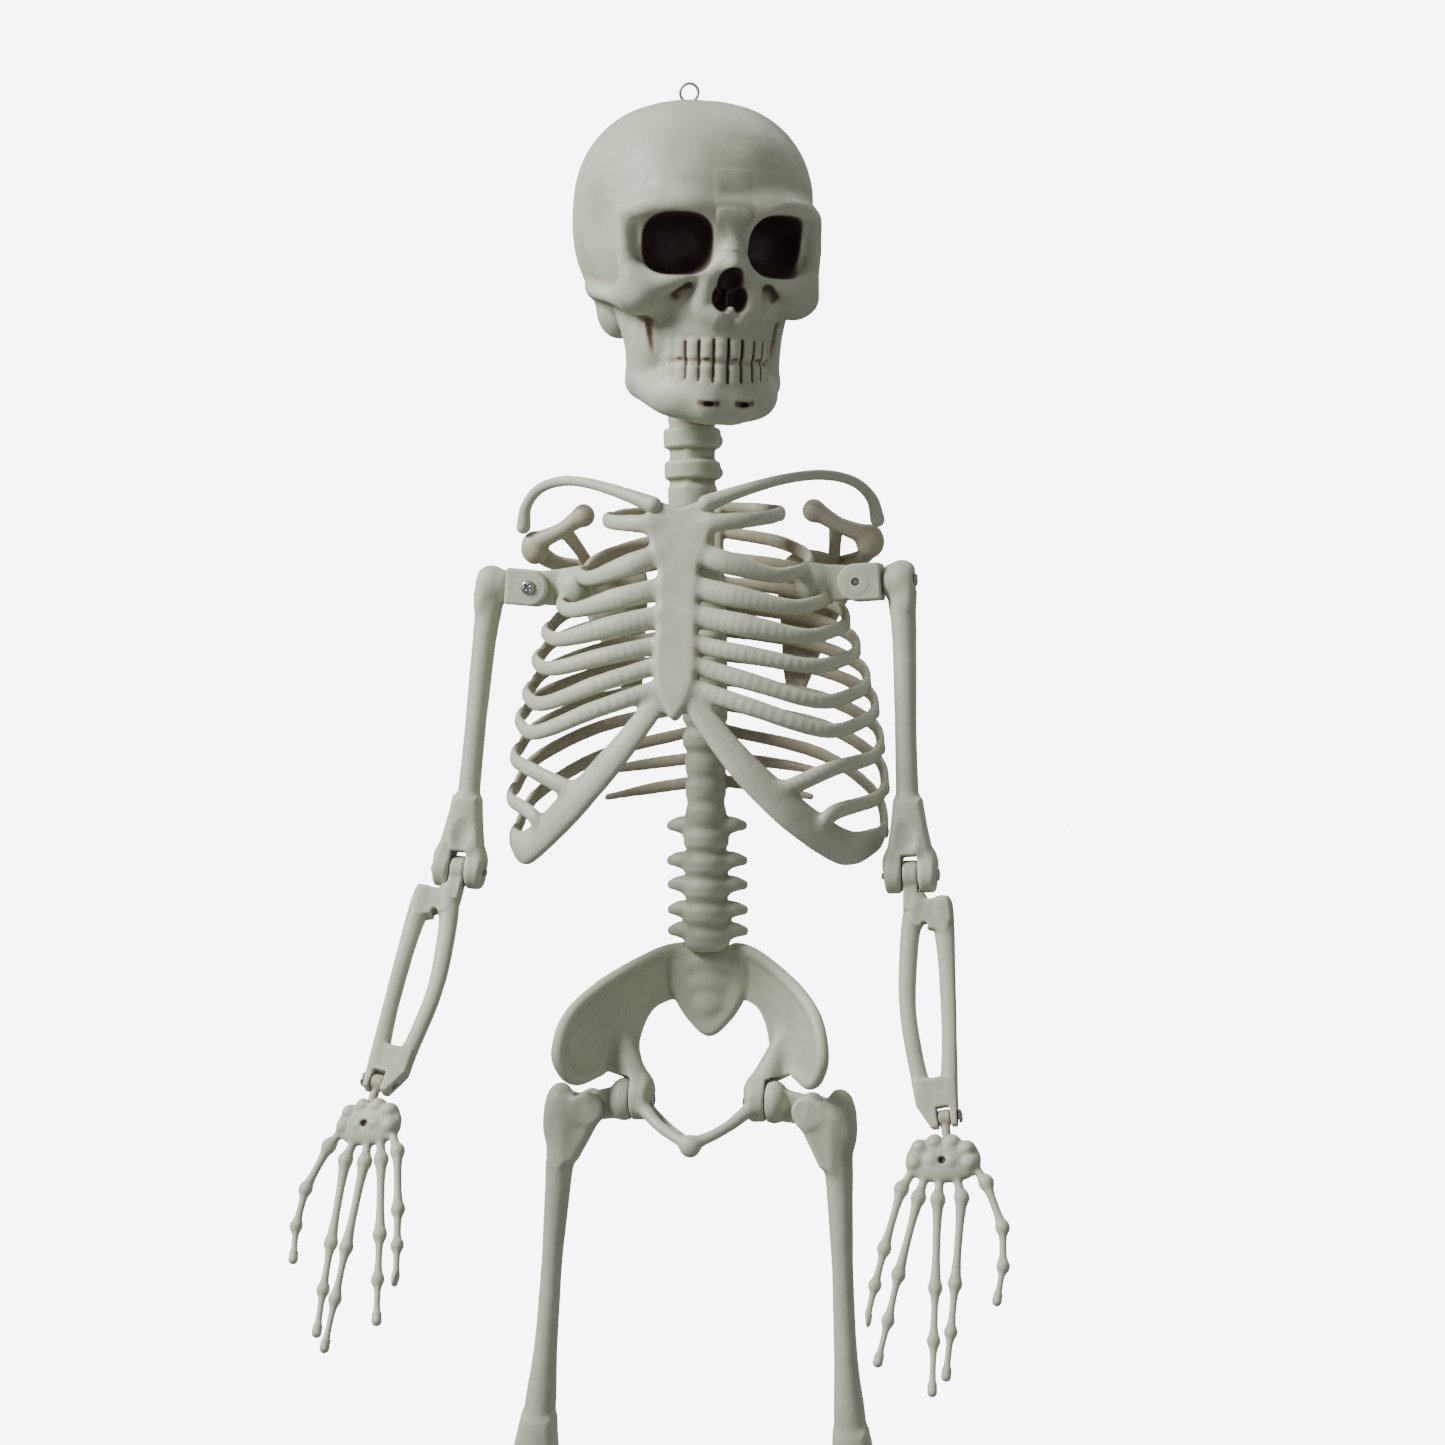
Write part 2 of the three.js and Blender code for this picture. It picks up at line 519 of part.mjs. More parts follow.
function shin() {
  const length = LEG.lower;
  const tongue = join(barX(-5, 5, 0, 0, 9.2), box(-5, 5, -7, 7, -22, 0));
  const plateau = plate([[-15, -14], [-12, -29], [12, -29], [15, -14]], -8.5, 8.5);
  const tibia = lathe([[0, 16 - length], [6.5, 16 - length], [5.6, -length / 2], [8, -26], [0, -26]], 8, -3);
  const fibula = tube([V(10, 2, -22), V(13.5, 3, -60), V(13.5, 3, -125), V(8, 0, 12 - length)], 3.4, 5, 5);
  const fork = join(box(-11, 11, -6.5, 6.5, 4 - length, 24 - length), barX(-11, 11, 0, -length, 6.8));
  const slot = box(-5 - RUN, 5 + RUN, -14, 14, -length - 12, 8 - length);
  return cut(
    join(tongue, plateau, tibia, fibula, fork), slot, barX(-12, 12, 0, 0, LOOSE, 8),
    barX(-14, 14, 0, -length, TIGHT, 8));
}

// Toe rays as [start x, end x, end y], big toe first.
const TOES = [[-8, -14, -92], [-4, -6.5, -90], [0, 0.5, -86], [4, 7.5, -80], [8, 14, -72]];

function foot() {
  const sole = -LEG.sole;
  const talus = join(barX(-5, 5, 0, 0, 6.6), box(-5, 5, -6, 6, -22, 0));
  const rays = TOES.map(([x0, x1, y1], i) =>
    tube([V(x0, -12, -24), V((x0 + x1) / 2, -40, -30), V(x1, y1, sole + 2.5)], i ? 3 : 3.8, 4, 5));
  return cut(
    join(talus, ball(V(0, 18, sole + 13), 9, 15, 15), ball(V(0, -10, -25), 13, 22, 10), rays),
    box(-60, 60, -120, 60, sole - 20, sole), barX(-9, 9, 0, 0, LOOSE, 8));
}

function leg(name, side) {
  const pose = POSE[name];
  const make = (part, shape, material = BONE) => piece(`${name}_${part}`, shape, material, side);
  const x = LEG.shaft;
  const ankle = pivot(`${name}_ankle`, V(0, 0, -LEG.lower), FLEX, pose.ankle, make("foot", foot()));
  const knee = pivot(`${name}_knee`, V(side * x, 0, -LEG.upper), BEND_BACK, pose.knee,
    make("shin", shin()),
    make("ankle_bolt", screw(V(11.3 + HEAD_LENGTH, 0, -LEG.lower), V(-12, 0, -LEG.lower)), STEEL), ankle);
  const splay = pivot(`${name}_hip_spread`, V(side * HIP.reach, 0, -HIP.drop), spread(side), pose.splay,
    make("femur", femur()),
    make("hip_spread_screw", screw(V(0, 8.8 + HEAD_LENGTH, 0), V(0, -8, 0)), STEEL),
    make("knee_bolt", screw(V(x + 15.3 + HEAD_LENGTH, 0, -LEG.upper), V(x - 16, 0, -LEG.upper)), STEEL), knee);
  return pivot(`${name}_hip_swing`, V(side * HIP.x, HIP.y, HIP.z), FLEX, pose.hip,
    make("hip_knuckle", hipKnuckle()), splay);
}

// ---------------------------------------------------------------- the figure

const figure = new THREE.Group();
figure.name = "skeleton_figure";

const torso = new THREE.Group();
torso.name = "torso";
torso.add(
  piece("rib_cage_front", ribCageFront(), BONE),
  piece("rib_cage_back", ribCageBack(), BONE),
  piece("spine", spine(), BONE),
  piece("pelvis", pelvis(), BONE),
  piece("neck_pin", screw(V(9.8 + HEAD_LENGTH, 0, NECK.hinge), V(-9.5, 0, NECK.hinge)), STEEL),
);
const SCREW_FACE = BACK.face + GAP + HEAD_LENGTH;
CAGE_SCREWS.forEach((z, i) => {
  const name = ["rib_cage_screw_upper", "rib_cage_screw_lower"][i];
  torso.add(piece(name, screw(V(0, SCREW_FACE, z), V(0, SPINE.y, z)), STEEL));
});
torso.add(piece("pelvis_screw", screw(V(0, SCREW_FACE - 1, PELVIS_SCREW), V(0, SPINE.y, PELVIS_SCREW)), STEEL));
for (const [name, side] of [["left", 1], ["right", -1]]) {
  torso.add(
    piece(`${name}_scapula`, scapula(), DARK_BONE, side),
    piece(`${name}_clavicle`, clavicle(), BONE, side),
    piece(`${name}_hip_bolt`, screw(V(23.7 - HEAD_LENGTH, HIP.y, HIP.z), V(HIP.x + 9, HIP.y, HIP.z)), STEEL, side),
    arm(name, side),
    leg(name, side),
  );
}

figure.add(head(), ...neck(), torso);

export default figure;
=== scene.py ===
"""Posable hanging skeleton figure: sculpted bones, screws, paint and studio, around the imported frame.

Bones are sculpted as signed distances on a grid, in millimetres and in the frame of the joint that
carries them, meshed, and placed in the row frame by the pose of that joint.
"""

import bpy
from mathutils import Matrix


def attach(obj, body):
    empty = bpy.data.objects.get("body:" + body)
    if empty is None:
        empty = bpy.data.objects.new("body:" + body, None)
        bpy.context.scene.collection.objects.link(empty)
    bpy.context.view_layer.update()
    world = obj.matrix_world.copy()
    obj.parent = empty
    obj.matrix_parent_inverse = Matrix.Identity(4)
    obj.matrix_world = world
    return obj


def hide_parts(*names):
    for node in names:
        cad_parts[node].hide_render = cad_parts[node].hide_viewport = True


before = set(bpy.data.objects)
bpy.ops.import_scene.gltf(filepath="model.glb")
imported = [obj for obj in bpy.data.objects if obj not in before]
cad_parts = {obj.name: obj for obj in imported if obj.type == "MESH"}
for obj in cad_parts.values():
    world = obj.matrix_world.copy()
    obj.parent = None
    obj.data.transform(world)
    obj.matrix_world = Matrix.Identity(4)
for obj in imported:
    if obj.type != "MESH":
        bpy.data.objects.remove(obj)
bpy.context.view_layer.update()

import copy
import itertools
import math

import bpy
import numpy as np
import openvdb
from mathutils import Matrix, Vector

MM = 0.001
FAR = 4.0  # distances are only kept this close to a surface, in mm
rng = np.random.default_rng(31)

# ---- shapes, as distances to their surface


def vec(*values):
    return np.array(values, np.float64)


def unit(v):
    v = np.asarray(v, np.float64)
    return v / np.linalg.norm(v)


def melt(a, b, soft):
    """The smaller of two distances, with the crease between them rounded over `soft`."""
    if soft <= 0:
        return np.minimum(a, b)
    h = np.maximum(soft - np.abs(a - b), 0) / soft
    return np.minimum(a, b) - h * h * soft * 0.25


def turned(turn, x, y, z):
    """Coordinates along the axes of a rotation given as three row vectors."""
    return tuple(float(r[0]) * x + float(r[1]) * y + float(r[2]) * z for r in turn)


def rounded_rim(edge, *gaps):
    """The distance to where slabs overlap, from the distance to each slab, with a rounded rim."""
    outside = np.sqrt(sum(np.maximum(gap, 0) ** 2 for gap in gaps))
    inside = gaps[0]
    for gap in gaps[1:]:
        inside = np.maximum(inside, gap)
    return outside + np.minimum(inside, 0) - edge


# Each shape is the two corners of a box around it and a function for the distance at (x, y, z).


def ellipsoid(centre, radii, turn=None, power=2.0):
    """An ellipsoid, or with a higher power a boxier one."""
    c, r = vec(*centre), np.broadcast_to(vec(*np.atleast_1d(radii)), 3)
    reach = float(max(r)) * 1.2 if turn is not None else r

    def distance(x, y, z):
        p = (x - c[0], y - c[1], z - c[2])
        if turn is not None:
            p = turned(turn, *p)
        u = [np.abs(p[k] / r[k]) + 1e-6 for k in range(3)]
        size = sum(v**power for v in u) ** (1 / power)
        slope = np.sqrt(sum((u[k] ** (power - 1) / r[k]) ** 2 for k in range(3))) * size ** (1 - power)
        return np.clip((size - 1) / slope, -3 * FAR, 3 * FAR)

    return c - reach, c + reach, distance


def block(centre, half, edge, turn=None):
    """A box with rounded edges."""
    c, h = vec(*centre), vec(*half)
    reach = float(np.linalg.norm(h)) if turn is not None else h

    def distance(x, y, z):
        p = (x - c[0], y - c[1], z - c[2])
        if turn is not None:
            p = turned(turn, *p)
        return rounded_rim(edge, *(np.abs(p[k]) - (h[k] - edge) for k in range(3)))

    return c - reach, c + reach, distance


def disc(start, end, radius, edge, top=None):
    """A round bar with rounded rims; top is its radius at the end."""
    a, b = vec(*start), vec(*end)
    r1 = radius if top is None else top
    length = float(np.linalg.norm(b - a))
    way = (b - a) / length

    def distance(x, y, z):
        p = (x - a[0], y - a[1], z - a[2])
        t = p[0] * way[0] + p[1] * way[1] + p[2] * way[2]
        across = np.sqrt(np.maximum(p[0] ** 2 + p[1] ** 2 + p[2] ** 2 - t * t, 0))
        r = radius + (r1 - radius) * np.clip(t / length, 0, 1)
        return rounded_rim(edge, across - (r - edge), np.abs(t - length / 2) - (length / 2 - edge))

    big = max(radius, r1)
    return np.minimum(a, b) - big, np.maximum(a, b) + big, distance


def between(a, b, c, d, t):
    """The point a share t of the way from b to c, on the smooth curve through all four."""
    return 0.5 * (2 * b + (c - a) * t + (2 * a - 5 * b + 4 * c - d) * t**2 + (3 * b - a - 3 * c + d) * t**3)


def curve(points, count):
    """A smooth curve through the points, resampled to `count` points."""
    p = np.asarray(points, np.float64)
    p = np.vstack([2 * p[0] - p[1], p, 2 * p[-1] - p[-2]])
    steps = np.linspace(0, len(p) - 3 - 1e-6, count)
    return np.array([between(*p[int(s) : int(s) + 4], s - int(s)) for s in steps])


def rounded(outline, count=48):
    """An outline with its corners rounded: a closed smooth curve through it."""
    p = [vec(*corner) for corner in outline]
    steps = np.linspace(0, len(p), count, endpoint=False)
    return np.array([between(*(p[(int(s) + k) % len(p)] for k in (-1, 0, 1, 2)), s - int(s)) for s in steps])


def spread_along(values, count):
    """A few values along a bone, spread evenly and smoothed over `count` points."""
    values = np.atleast_1d(values)
    even = np.interp(np.linspace(0, 1, count), np.linspace(0, 1, len(values)), values)
    return np.convolve(np.pad(even, 1, mode="edge"), [0.25, 0.5, 0.25], mode="valid")


def outline_distance(outline, u, v):
    """Signed distance to a closed outline of [u, v] corners."""
    square, sign = None, None
    for i, (ax, ay) in enumerate(outline):
        bx, by = outline[i - 1]
        ex, ey = bx - ax, by - ay
        wx, wy = u - ax, v - ay
        t = np.clip((wx * ex + wy * ey) / (ex * ex + ey * ey), 0, 1)
        d = (wx - ex * t) ** 2 + (wy - ey * t) ** 2
        square = d if square is None else np.minimum(square, d)
        c1, c2, c3 = v >= ay, v < by, ex * wy > ey * wx
        flip = np.where((c1 & c2 & c3) | (~c1 & ~c2 & ~c3), -1.0, 1.0)
        sign = flip if sign is None else sign * flip
    return sign * np.sqrt(square)


def sheet_of_bone(outline, origin, turn, thick, edge, bend=None):
    """A plate with an outline in its own [u, v] plane; bend(u, v) moves it along its normal."""
    o, corners = vec(*origin), np.asarray(outline, float)
    low, high = corners.min(0), corners.max(0)
    middle = o + turn[0] * (low[0] + high[0]) / 2 + turn[1] * (low[1] + high[1]) / 2
    reach = float(np.linalg.norm(high - low)) / 2 + thick + 8

    def distance(x, y, z):
        u, v, w = turned(turn, x - o[0], y - o[1], z - o[2])
        if bend is not None:
            w = w - bend(u, v)
        return rounded_rim(edge, outline_distance(corners, u, v) + edge, np.abs(w) - thick + edge)

    return middle - reach, middle + reach, distance


# ---- sculpting

FACING_FRONT = np.array([(1, 0, 0), (0, 0, 1), (0, 1, 0)])  # a plate's own u, v and normal


def mirrored(*points):
    """The same points on the left and on the right."""
    return [[(side * x, y, z) for x, y, z in points] for side in (1, -1)]


class Clay:
    """A block of grid cells that shapes are added to and cut from."""

    def __init__(self, low, high, voxel):
        self.low = vec(*low)
        self.voxel = voxel
        self.size = np.ceil((vec(*high) - self.low) / voxel).astype(int) + 1
        self.d = np.full(self.size, FAR, np.float32)

    def window(self, low, high):
        """The cells inside a box, and the coordinates of their middles."""
        first = np.clip(np.floor((low - self.low) / self.voxel).astype(int), 0, self.size)
        last = np.clip(np.ceil((high - self.low) / self.voxel).astype(int) + 1, 0, self.size)
        part = tuple(slice(a, b) for a, b in zip(first, last))
        x, y, z = (
            (self.low[k] + self.voxel * np.arange(first[k], last[k])).astype(np.float32) for k in range(3)
        )
        return part, x[:, None, None], y[None, :, None], z[None, None, :]

    def merge(self, part, new, soft, cut):
        old = self.d[part]
        self.d[part] = -melt(-old, new, soft) if cut else melt(old, new, soft)

    def add(self, shape, soft=0.0, cut=False):
        """Add a shape; soft is how wide the crease around it is rounded over."""
        low, high, distance = shape
        pad = soft + 2.5 * self.voxel
        part, x, y, z = self.window(low - pad, high + pad)
        self.merge(part, distance(x, y, z), soft, cut)

    def cut(self, shape, soft=0.0):
        self.add(shape, soft, cut=True)

    def half(self, axis, level, sign):
        """A copy with only the part below a level along an axis (sign 1) or above it (sign -1)."""
        other = copy.copy(self)
        along = self.low[axis] + self.voxel * np.arange(self.size[axis])
        shape = [-1 if k == axis else 1 for k in range(3)]
        other.d = np.maximum(self.d, (sign * (along - level)).reshape(shape)).astype(np.float32)
        return other

    def bar(self, start, end, radius, edge, soft=0.0, top=None):
        self.add(disc(start, end, radius, edge, top), soft)

    def bore(self, start, end, radius, edge=0.2, soft=0.0):
        self.cut(disc(start, end, radius, edge), soft)

    def lump(self, centre, radii, soft=0.0, turn=None, power=2.0):
        self.add(ellipsoid(centre, radii, turn, power), soft)

    def plate(self, outline, thick, edge, soft=0.0, origin=(0, 0, 0), turn=FACING_FRONT, bend=None):
        self.add(sheet_of_bone(outline, origin, turn, thick, edge, bend), soft)

    def limb(self, points, radii, soft=2.0, count=20, flat=None, cut=False):
        """A bone along a smooth curve, span by span; flat = (its thin direction at a point, how thin)."""
        path, r = curve(points, count), spread_along(radii, count)
        pad = soft + 2.5 * self.voxel
        part, *_ = self.window(path.min(0) - r.max() - pad, path.max(0) + r.max() + pad)
        whole = np.full(self.d[part].shape, 2 * FAR, np.float32)
        for i in range(count - 1):
            a, ab = path[i], path[i + 1] - path[i]
            reach = max(r[i], r[i + 1]) + pad
            inner, x, y, z = self.window(np.minimum(a, a + ab) - reach, np.maximum(a, a + ab) + reach)
            local = tuple(slice(s.start - p.start, s.stop - p.start) for s, p in zip(inner, part))
            if 0 in whole[local].shape:
                continue
            p = (x - a[0], y - a[1], z - a[2])
            t = np.clip(sum(p[k] * ab[k] for k in range(3)) / np.dot(ab, ab), 0, 1)
            q = [p[k] - t * ab[k] for k in range(3)]
            square = q[0] ** 2 + q[1] ** 2 + q[2] ** 2
            if flat is not None:
                n, thin = flat[0](a + ab / 2), flat[1]
                square = square + (1 / thin**2 - 1) * sum(q[k] * n[k] for k in range(3)) ** 2
            whole[local] = np.minimum(whole[local], np.sqrt(square) - (r[i] + t * (r[i + 1] - r[i])))
        self.merge(part, whole, soft, cut)

    def limb_pair(self, points, *shape, **options):
        """The same limb on the left and on the right."""
        for limb in mirrored(*points):
            self.limb(limb, *shape, **options)


def blur(d, reach):
    """The mean over a cube of half width `reach` cells."""
    wide = 2 * reach + 1
    for axis in range(3):
        edges = [(reach + 1, reach) if k == axis else (0, 0) for k in range(3)]
        total = np.cumsum(np.pad(d, edges, mode="edge"), axis=axis, dtype=np.float64)
        cells = np.arange(d.shape[axis])
        gained = np.take(total, cells + wide, axis=axis) - np.take(total, cells, axis=axis)
        d = (gained / wide).astype(np.float32)
    return d


def between_cells(i, t, value):
    """A value from the eight corners of each cell i, at the place t inside it."""
    total = 0
    for corner in itertools.product((0, 1), repeat=3):
        x, y, z = (np.where(corner[k], t[:, k], 1 - t[:, k]) for k in range(3))
        total = total + x * y * z * value(*(i + corner).T)
    return total


def sample(field, clay, points):
    """Values of a grid field at points, between cells."""
    s = (points - clay.low) / clay.voxel
    i = np.clip(np.floor(s).astype(int), 0, np.array(field.shape) - 2)
    return between_cells(i, np.clip(s - i, 0, 1), lambda x, y, z: field[x, y, z])


PERIOD = 24  # the noise repeats after this many of its features
LATTICE = rng.random((PERIOD, PERIOD, PERIOD))


def noise(points, size, offset=0.0):
    """Smooth noise from -1 to 1 with features of `size` mm."""
    s = points / size + offset
    i = np.floor(s).astype(int)
    t = s - i
    value = between_cells(i, t * t * (3 - 2 * t), lambda *cell: LATTICE[tuple(k % PERIOD for k in cell)])
    return 2 * value - 1


class Sculpt:
    """The meshed surface of a block of clay, with its hollows and its painted places."""

    def __init__(self, clay, rough=0.1, hollow=2.2):
        grid = openvdb.FloatGrid(FAR)
        grid.copyFromArray(np.ascontiguousarray(clay.d))
        points, _, quads = grid.convertToPolygons(isovalue=0.0)
        self.points = clay.low + clay.voxel * points.astype(np.float64)
        self.quads = np.asarray(quads, np.int64)
        self.relax(2)
        near = np.clip(clay.d, -2.5, 2.5)
        reach = max(1, int(round(hollow / clay.voxel)))
        self.hollow = sample(near - blur(near, reach), clay, self.points)
        self.dark = np.zeros(len(self.points))
        self.painted_shade = np.zeros(len(self.points))
        if rough:
            height = rough * (noise(self.points, 11.0) + 0.5 * noise(self.points, 4.5, 7.3))
            self.points += self.normals() * height[:, None]

    def gather(self, index, values):
        """The sum, at each point, of the rows of values that belong to it."""
        return np.stack([np.bincount(index, values[:, k], len(self.points)) for k in range(3)], 1)

    def relax(self, rounds):
        """Even out the steps that the grid leaves."""
        pairs = np.concatenate([self.quads[:, [k, (k + 1) % 4]] for k in range(4)])
        share = 2 * np.maximum(np.bincount(pairs.ravel(), minlength=len(self.points)), 1)[:, None]
        a, b = pairs.T
        for _ in range(rounds):
            total = self.gather(a, self.points[b]) + self.gather(b, self.points[a])
            self.points = 0.5 * self.points + total / share

    def normals(self):
        p = self.points[self.quads]
        n = np.cross(p[:, 2] - p[:, 0], p[:, 3] - p[:, 1])
        total = sum(self.gather(self.quads[:, c], n) for c in range(4))
        return total / np.maximum(np.linalg.norm(total, axis=1), 1e-9)[:, None]

    def stain(self, kind, where, amount):
        """Paint the points chosen by `where`: kind is "dark" for the sockets' own paint, or the channel of painted
        shade.
        """
        painted = getattr(self, kind)
        painted[where] = np.maximum(painted[where], amount)

    def paint(self, kind, shape, reach):
        """Paint what lies within `reach` of a shape."""
        x, y, z = self.points.T
        self.stain(kind, slice(None), np.clip(1 - shape[2](x, y, z) / reach, 0, 1))

    def paint_line(self, kind, points, reach, strength=1.0):
        """Paint what lies within `reach` of a smooth curve."""
        path = curve(points, 24)
        low, high = path.min(0) - reach, path.max(0) + reach
        close = np.flatnonzero(np.all((self.points > low) & (self.points < high), axis=1))
        gap = np.full(len(close), 1e3)
        for a, b in zip(path[:-1], path[1:]):
            p, ab = self.points[close] - a, b - a
            t = np.clip(p @ ab / (ab @ ab), 0, 1)
            gap = np.minimum(gap, np.linalg.norm(p - t[:, None] * ab, axis=1))
        self.stain(kind, close, strength * np.clip(2 - 2 * gap / reach, 0, 1))


# ---- bones, each in its own frame, in mm

PIN_HOLE, LOOSE_HOLE = 1.8, 2.1  # radii of the holes that a screw grips in, and that it turns in
TONGUE, SWING_GAP = 3.5, 3.9  # half widths of the hinge tongues and of the slots that they turn in
NECK_HINGE = -212
SHOULDER_X, SHOULDER_Z = 81, -240
HIP_X, HIP_Y, HIP_Z = 34, 2, -492
CAGE_SCREWS, PELVIS_SCREW = (-240, -318), -415
COLUMN_Y = 26  # the middle of the spine, behind the neck
# Each rib from the top down: its half width, and its height at the cage's side and at the sternum.
RIB_WIDTH = [42, 56, 66, 74, 79, 84, 88, 90.5, 92.5, 92]
RIB_SIDE = [-206, -232, -246.5, -259.6, -273, -289, -302, -319.6, -339, -359.6]
RIB_FRONT = [-213, -226, -242.6, -256, -269.4, -279, -290]
SEAM = 5  # how far behind the middle the rib cage's front and back halves meet
NOD = math.radians(7)
UPRIGHT = vec(0, math.sin(NOD), math.cos(NOD))  # straight up, in the nodded skull


def about_z(degrees):
    a = math.radians(degrees)
    return np.array([(math.cos(a), math.sin(a), 0), (-math.sin(a), math.cos(a), 0), (0, 0, 1)])


def orbit(side):
    return ellipsoid((side * 24, -57, 33.5), (15.9, 25, 14.2), about_z(side * 10), 2.9)


def nose_opening():
    return [
        ellipsoid((3.6, -66, 9), (4.9, 13, 6.2)), ellipsoid((-3.6, -66, 9), (4.9, 13, 6.2)),
        ellipsoid((0, -66, 15), (6.0, 13, 8.6)),
    ]


TOOTH_ARC = (-38, 25.4)  # where the arc of the teeth is centred, and its radius
TOOTH_PITCH = 15.5  # degrees
BITE = -20.4


def tooth_place(degrees, out=0.0):
    a = math.radians(degrees)
    y, radius = TOOTH_ARC
    return (radius + out) * math.sin(a), y - (radius + out) * math.cos(a)


def tooth_grooves():
    """The grooves between the teeth, as thin upright blades."""
    grooves = []
    for n in range(-3, 5):
        x, y = tooth_place(TOOTH_PITCH * n, 1.0)
        grooves.append(block((x, y, -20), (0.34, 2.4, 10.4 - 0.5 * abs(n)), 0.3, about_z(TOOTH_PITCH * n)))
    return grooves


def bite_line():
    """A line across the teeth, a little up and down from tooth to tooth."""
    places = [(a, tooth_place(a, 1.3)) for a in range(-68, 69, 8)]
    return [(x, y, BITE + 0.7 * math.sin(a * 0.2)) for a, (x, y) in places]


# Slots in the face, on both sides: their course, radii and how dark their painted shade is.
FACE_SLOTS = [
    ([(24.5, -56.6, 9), (22, -58.4, 11.5), (19.6, -59.8, 14)], [1.2, 1.9, 1.3], 1),
    ([(35, -32.5, -1), (31.5, -36, -0.5), (27.5, -40, -1)], [1.2, 1.8, 1.2], 0.35),
    ([(31, -36, -1), (30.2, -36.8, -9), (29, -38, -16)], [1.9, 1.4, 0.8], 0.3),
    ([(12, -60.4, -39.2), (8.5, -61.8, -40), (5, -62.3, -39.6)], [1.0, 1.5, 0.9], 1),
]


def skull_halves():
    clay = Clay((-62, -78, -58), (62, 76, 109), 0.68)
    clay.lump((0, 3, 48.5), (56, 67.5, 56), power=2.35)
    clay.lump((0, 4, 22), (44, 52, 27), 8, power=2.6)
    for side in (1, -1):
        clay.cut(ellipsoid((side * 69.5, -30, 39), (15.5, 25, 23)), 12)
        clay.lump((side * 34, 8, 2), (9, 14, 11), 10)
        clay.lump((side * 36, -43, 10.5), (13.5, 12.5, 9.5), 8)
    clay.lump((0, -36, 5), (28, 27, 28), 9)
    clay.bar((0, -38, -2), (0, -37.5, -35), 24.6, 6, 6)
    brow = [(44.5, -43, 47), (37, -54.5, 50.5), (22, -61, 51), (8, -61.5, 47)]
    clay.limb_pair(brow, [3.8, 4, 4.2, 4.2], 10)
    clay.limb_pair([(44.5, -43, 48), (46.5, -44.5, 35), (43.5, -46, 20), (38, -47, 12)], [4, 3.8, 5, 7], 5)
    clay.limb_pair([(41, -48, 18), (29, -56, 16), (15, -60, 22)], [4.6, 4.4, 4], 5)
    clay.limb_pair([(40, -40, 8), (47.5, -24, 10), (49.5, -6, 12), (46, 10, 14)], [6, 3.8, 3.6, 5], 4)
    clay.limb([(0, -60, 47), (0, -62.5, 36), (0, -67.5, 24.5)], [7, 5.2, 4.8], 6)
    clay.limb_pair([(5, -64, 25.5), (10.5, -61, 16), (12, -60, 5), (6, -63, 0)], [3.2, 3.2, 3.4, 3.4], 5)
    # the lower jaw
    clay.lump((0, -47, -37), (17, 14.5, 12.5), 7)
    clay.lump((0, -57, -42), (11, 5, 6.5), 5)
    clay.limb_pair([(8, -52, -38), (21, -42, -37), (29.5, -24, -31)], [10, 9.5, 8], 6)
    clay.limb_pair([(30, -23, -29), (31.5, -21, -12), (35, -17, 6)], [7.2, 7.4, 8.5], 5)
    for side in (1, -1):
        clay.lump((side * 27, -27, -10), (9, 11, 20), 5)
    clay.cut(ellipsoid((0, -15, -35), (21, 25, 27)), 4)
    # openings of the face
    for side in (1, -1):
        clay.cut(orbit(side), 1.6)
    for lobe in nose_opening():
        clay.cut(lobe, 1.0)
    clay.add(block((0, -54, 7), (0.8, 5, 6), 0.6), 1.5)
    clay.limb([(0, -58, 0.5), (0, -65.5, 3.5)], [2.6, 1.5], 2.5, 6)
    # teeth
    for n in range(-5, 5):
        x, y = tooth_place(TOOTH_PITCH * (n + 0.5), -2.7)
        clay.bar((x, y, -9.5), (x, y, -19.8), 3.9, 2.4, 1.6)
        clay.bar((x, y + 0.3, -21), (x, y + 0.8, -31.5), 3.8, 2.4, 1.6)
    for groove in tooth_grooves():
        clay.cut(groove, 0.5)
    clay.limb(bite_line(), 0.75, 0.5, 34, cut=True)
    for points, radii, _ in FACE_SLOTS:
        clay.limb_pair(points, radii, 0.8, 10, cut=True)
    # the seat of the neck, and the nut of the eyelet
    clay.bore(UPRIGHT * -32, UPRIGHT * 20, 8.0, 0.3)
    clay.bore(UPRIGHT * -6.4, UPRIGHT * 8, 18.5, 0.5)
    clay.bore(UPRIGHT * -40, UPRIGHT * -13.4, 15.5, 2, 2)
    clay.bore(UPRIGHT * 93, UPRIGHT * 101, 5, 0.5)
    clay.bore(UPRIGHT * 90, UPRIGHT * 116, 1.6)
    halves = []
    for sign in (1, -1):
        half = Sculpt(clay.half(1, 14 - 0.15 * sign, sign), 0.16, 3.0)
        for side in (1, -1):
            half.paint("dark", orbit(side), 1.1)
        for lobe in nose_opening():
            half.paint("dark", lobe, 0.9)
        # the ridge between the nostrils stays pale
        x, y, z = half.points.T
        half.dark *= 1 - np.clip(1.6 - np.abs(x) * 0.9, 0, 1) * (z < 5) * (y < -60)
        # painted shade: darker in the grooves between the teeth, along the bite line and inside the face slots
        for groove in tooth_grooves():
            half.paint("painted_shade", groove, 0.9)
        half.paint_line("painted_shade", bite_line(), 1.8)
        for points, radii, strength in FACE_SLOTS:
            for slot in mirrored(*points):
                half.paint_line("painted_shade", slot, 1.9 * np.max(radii), strength)
        halves.append(half)
    return halves


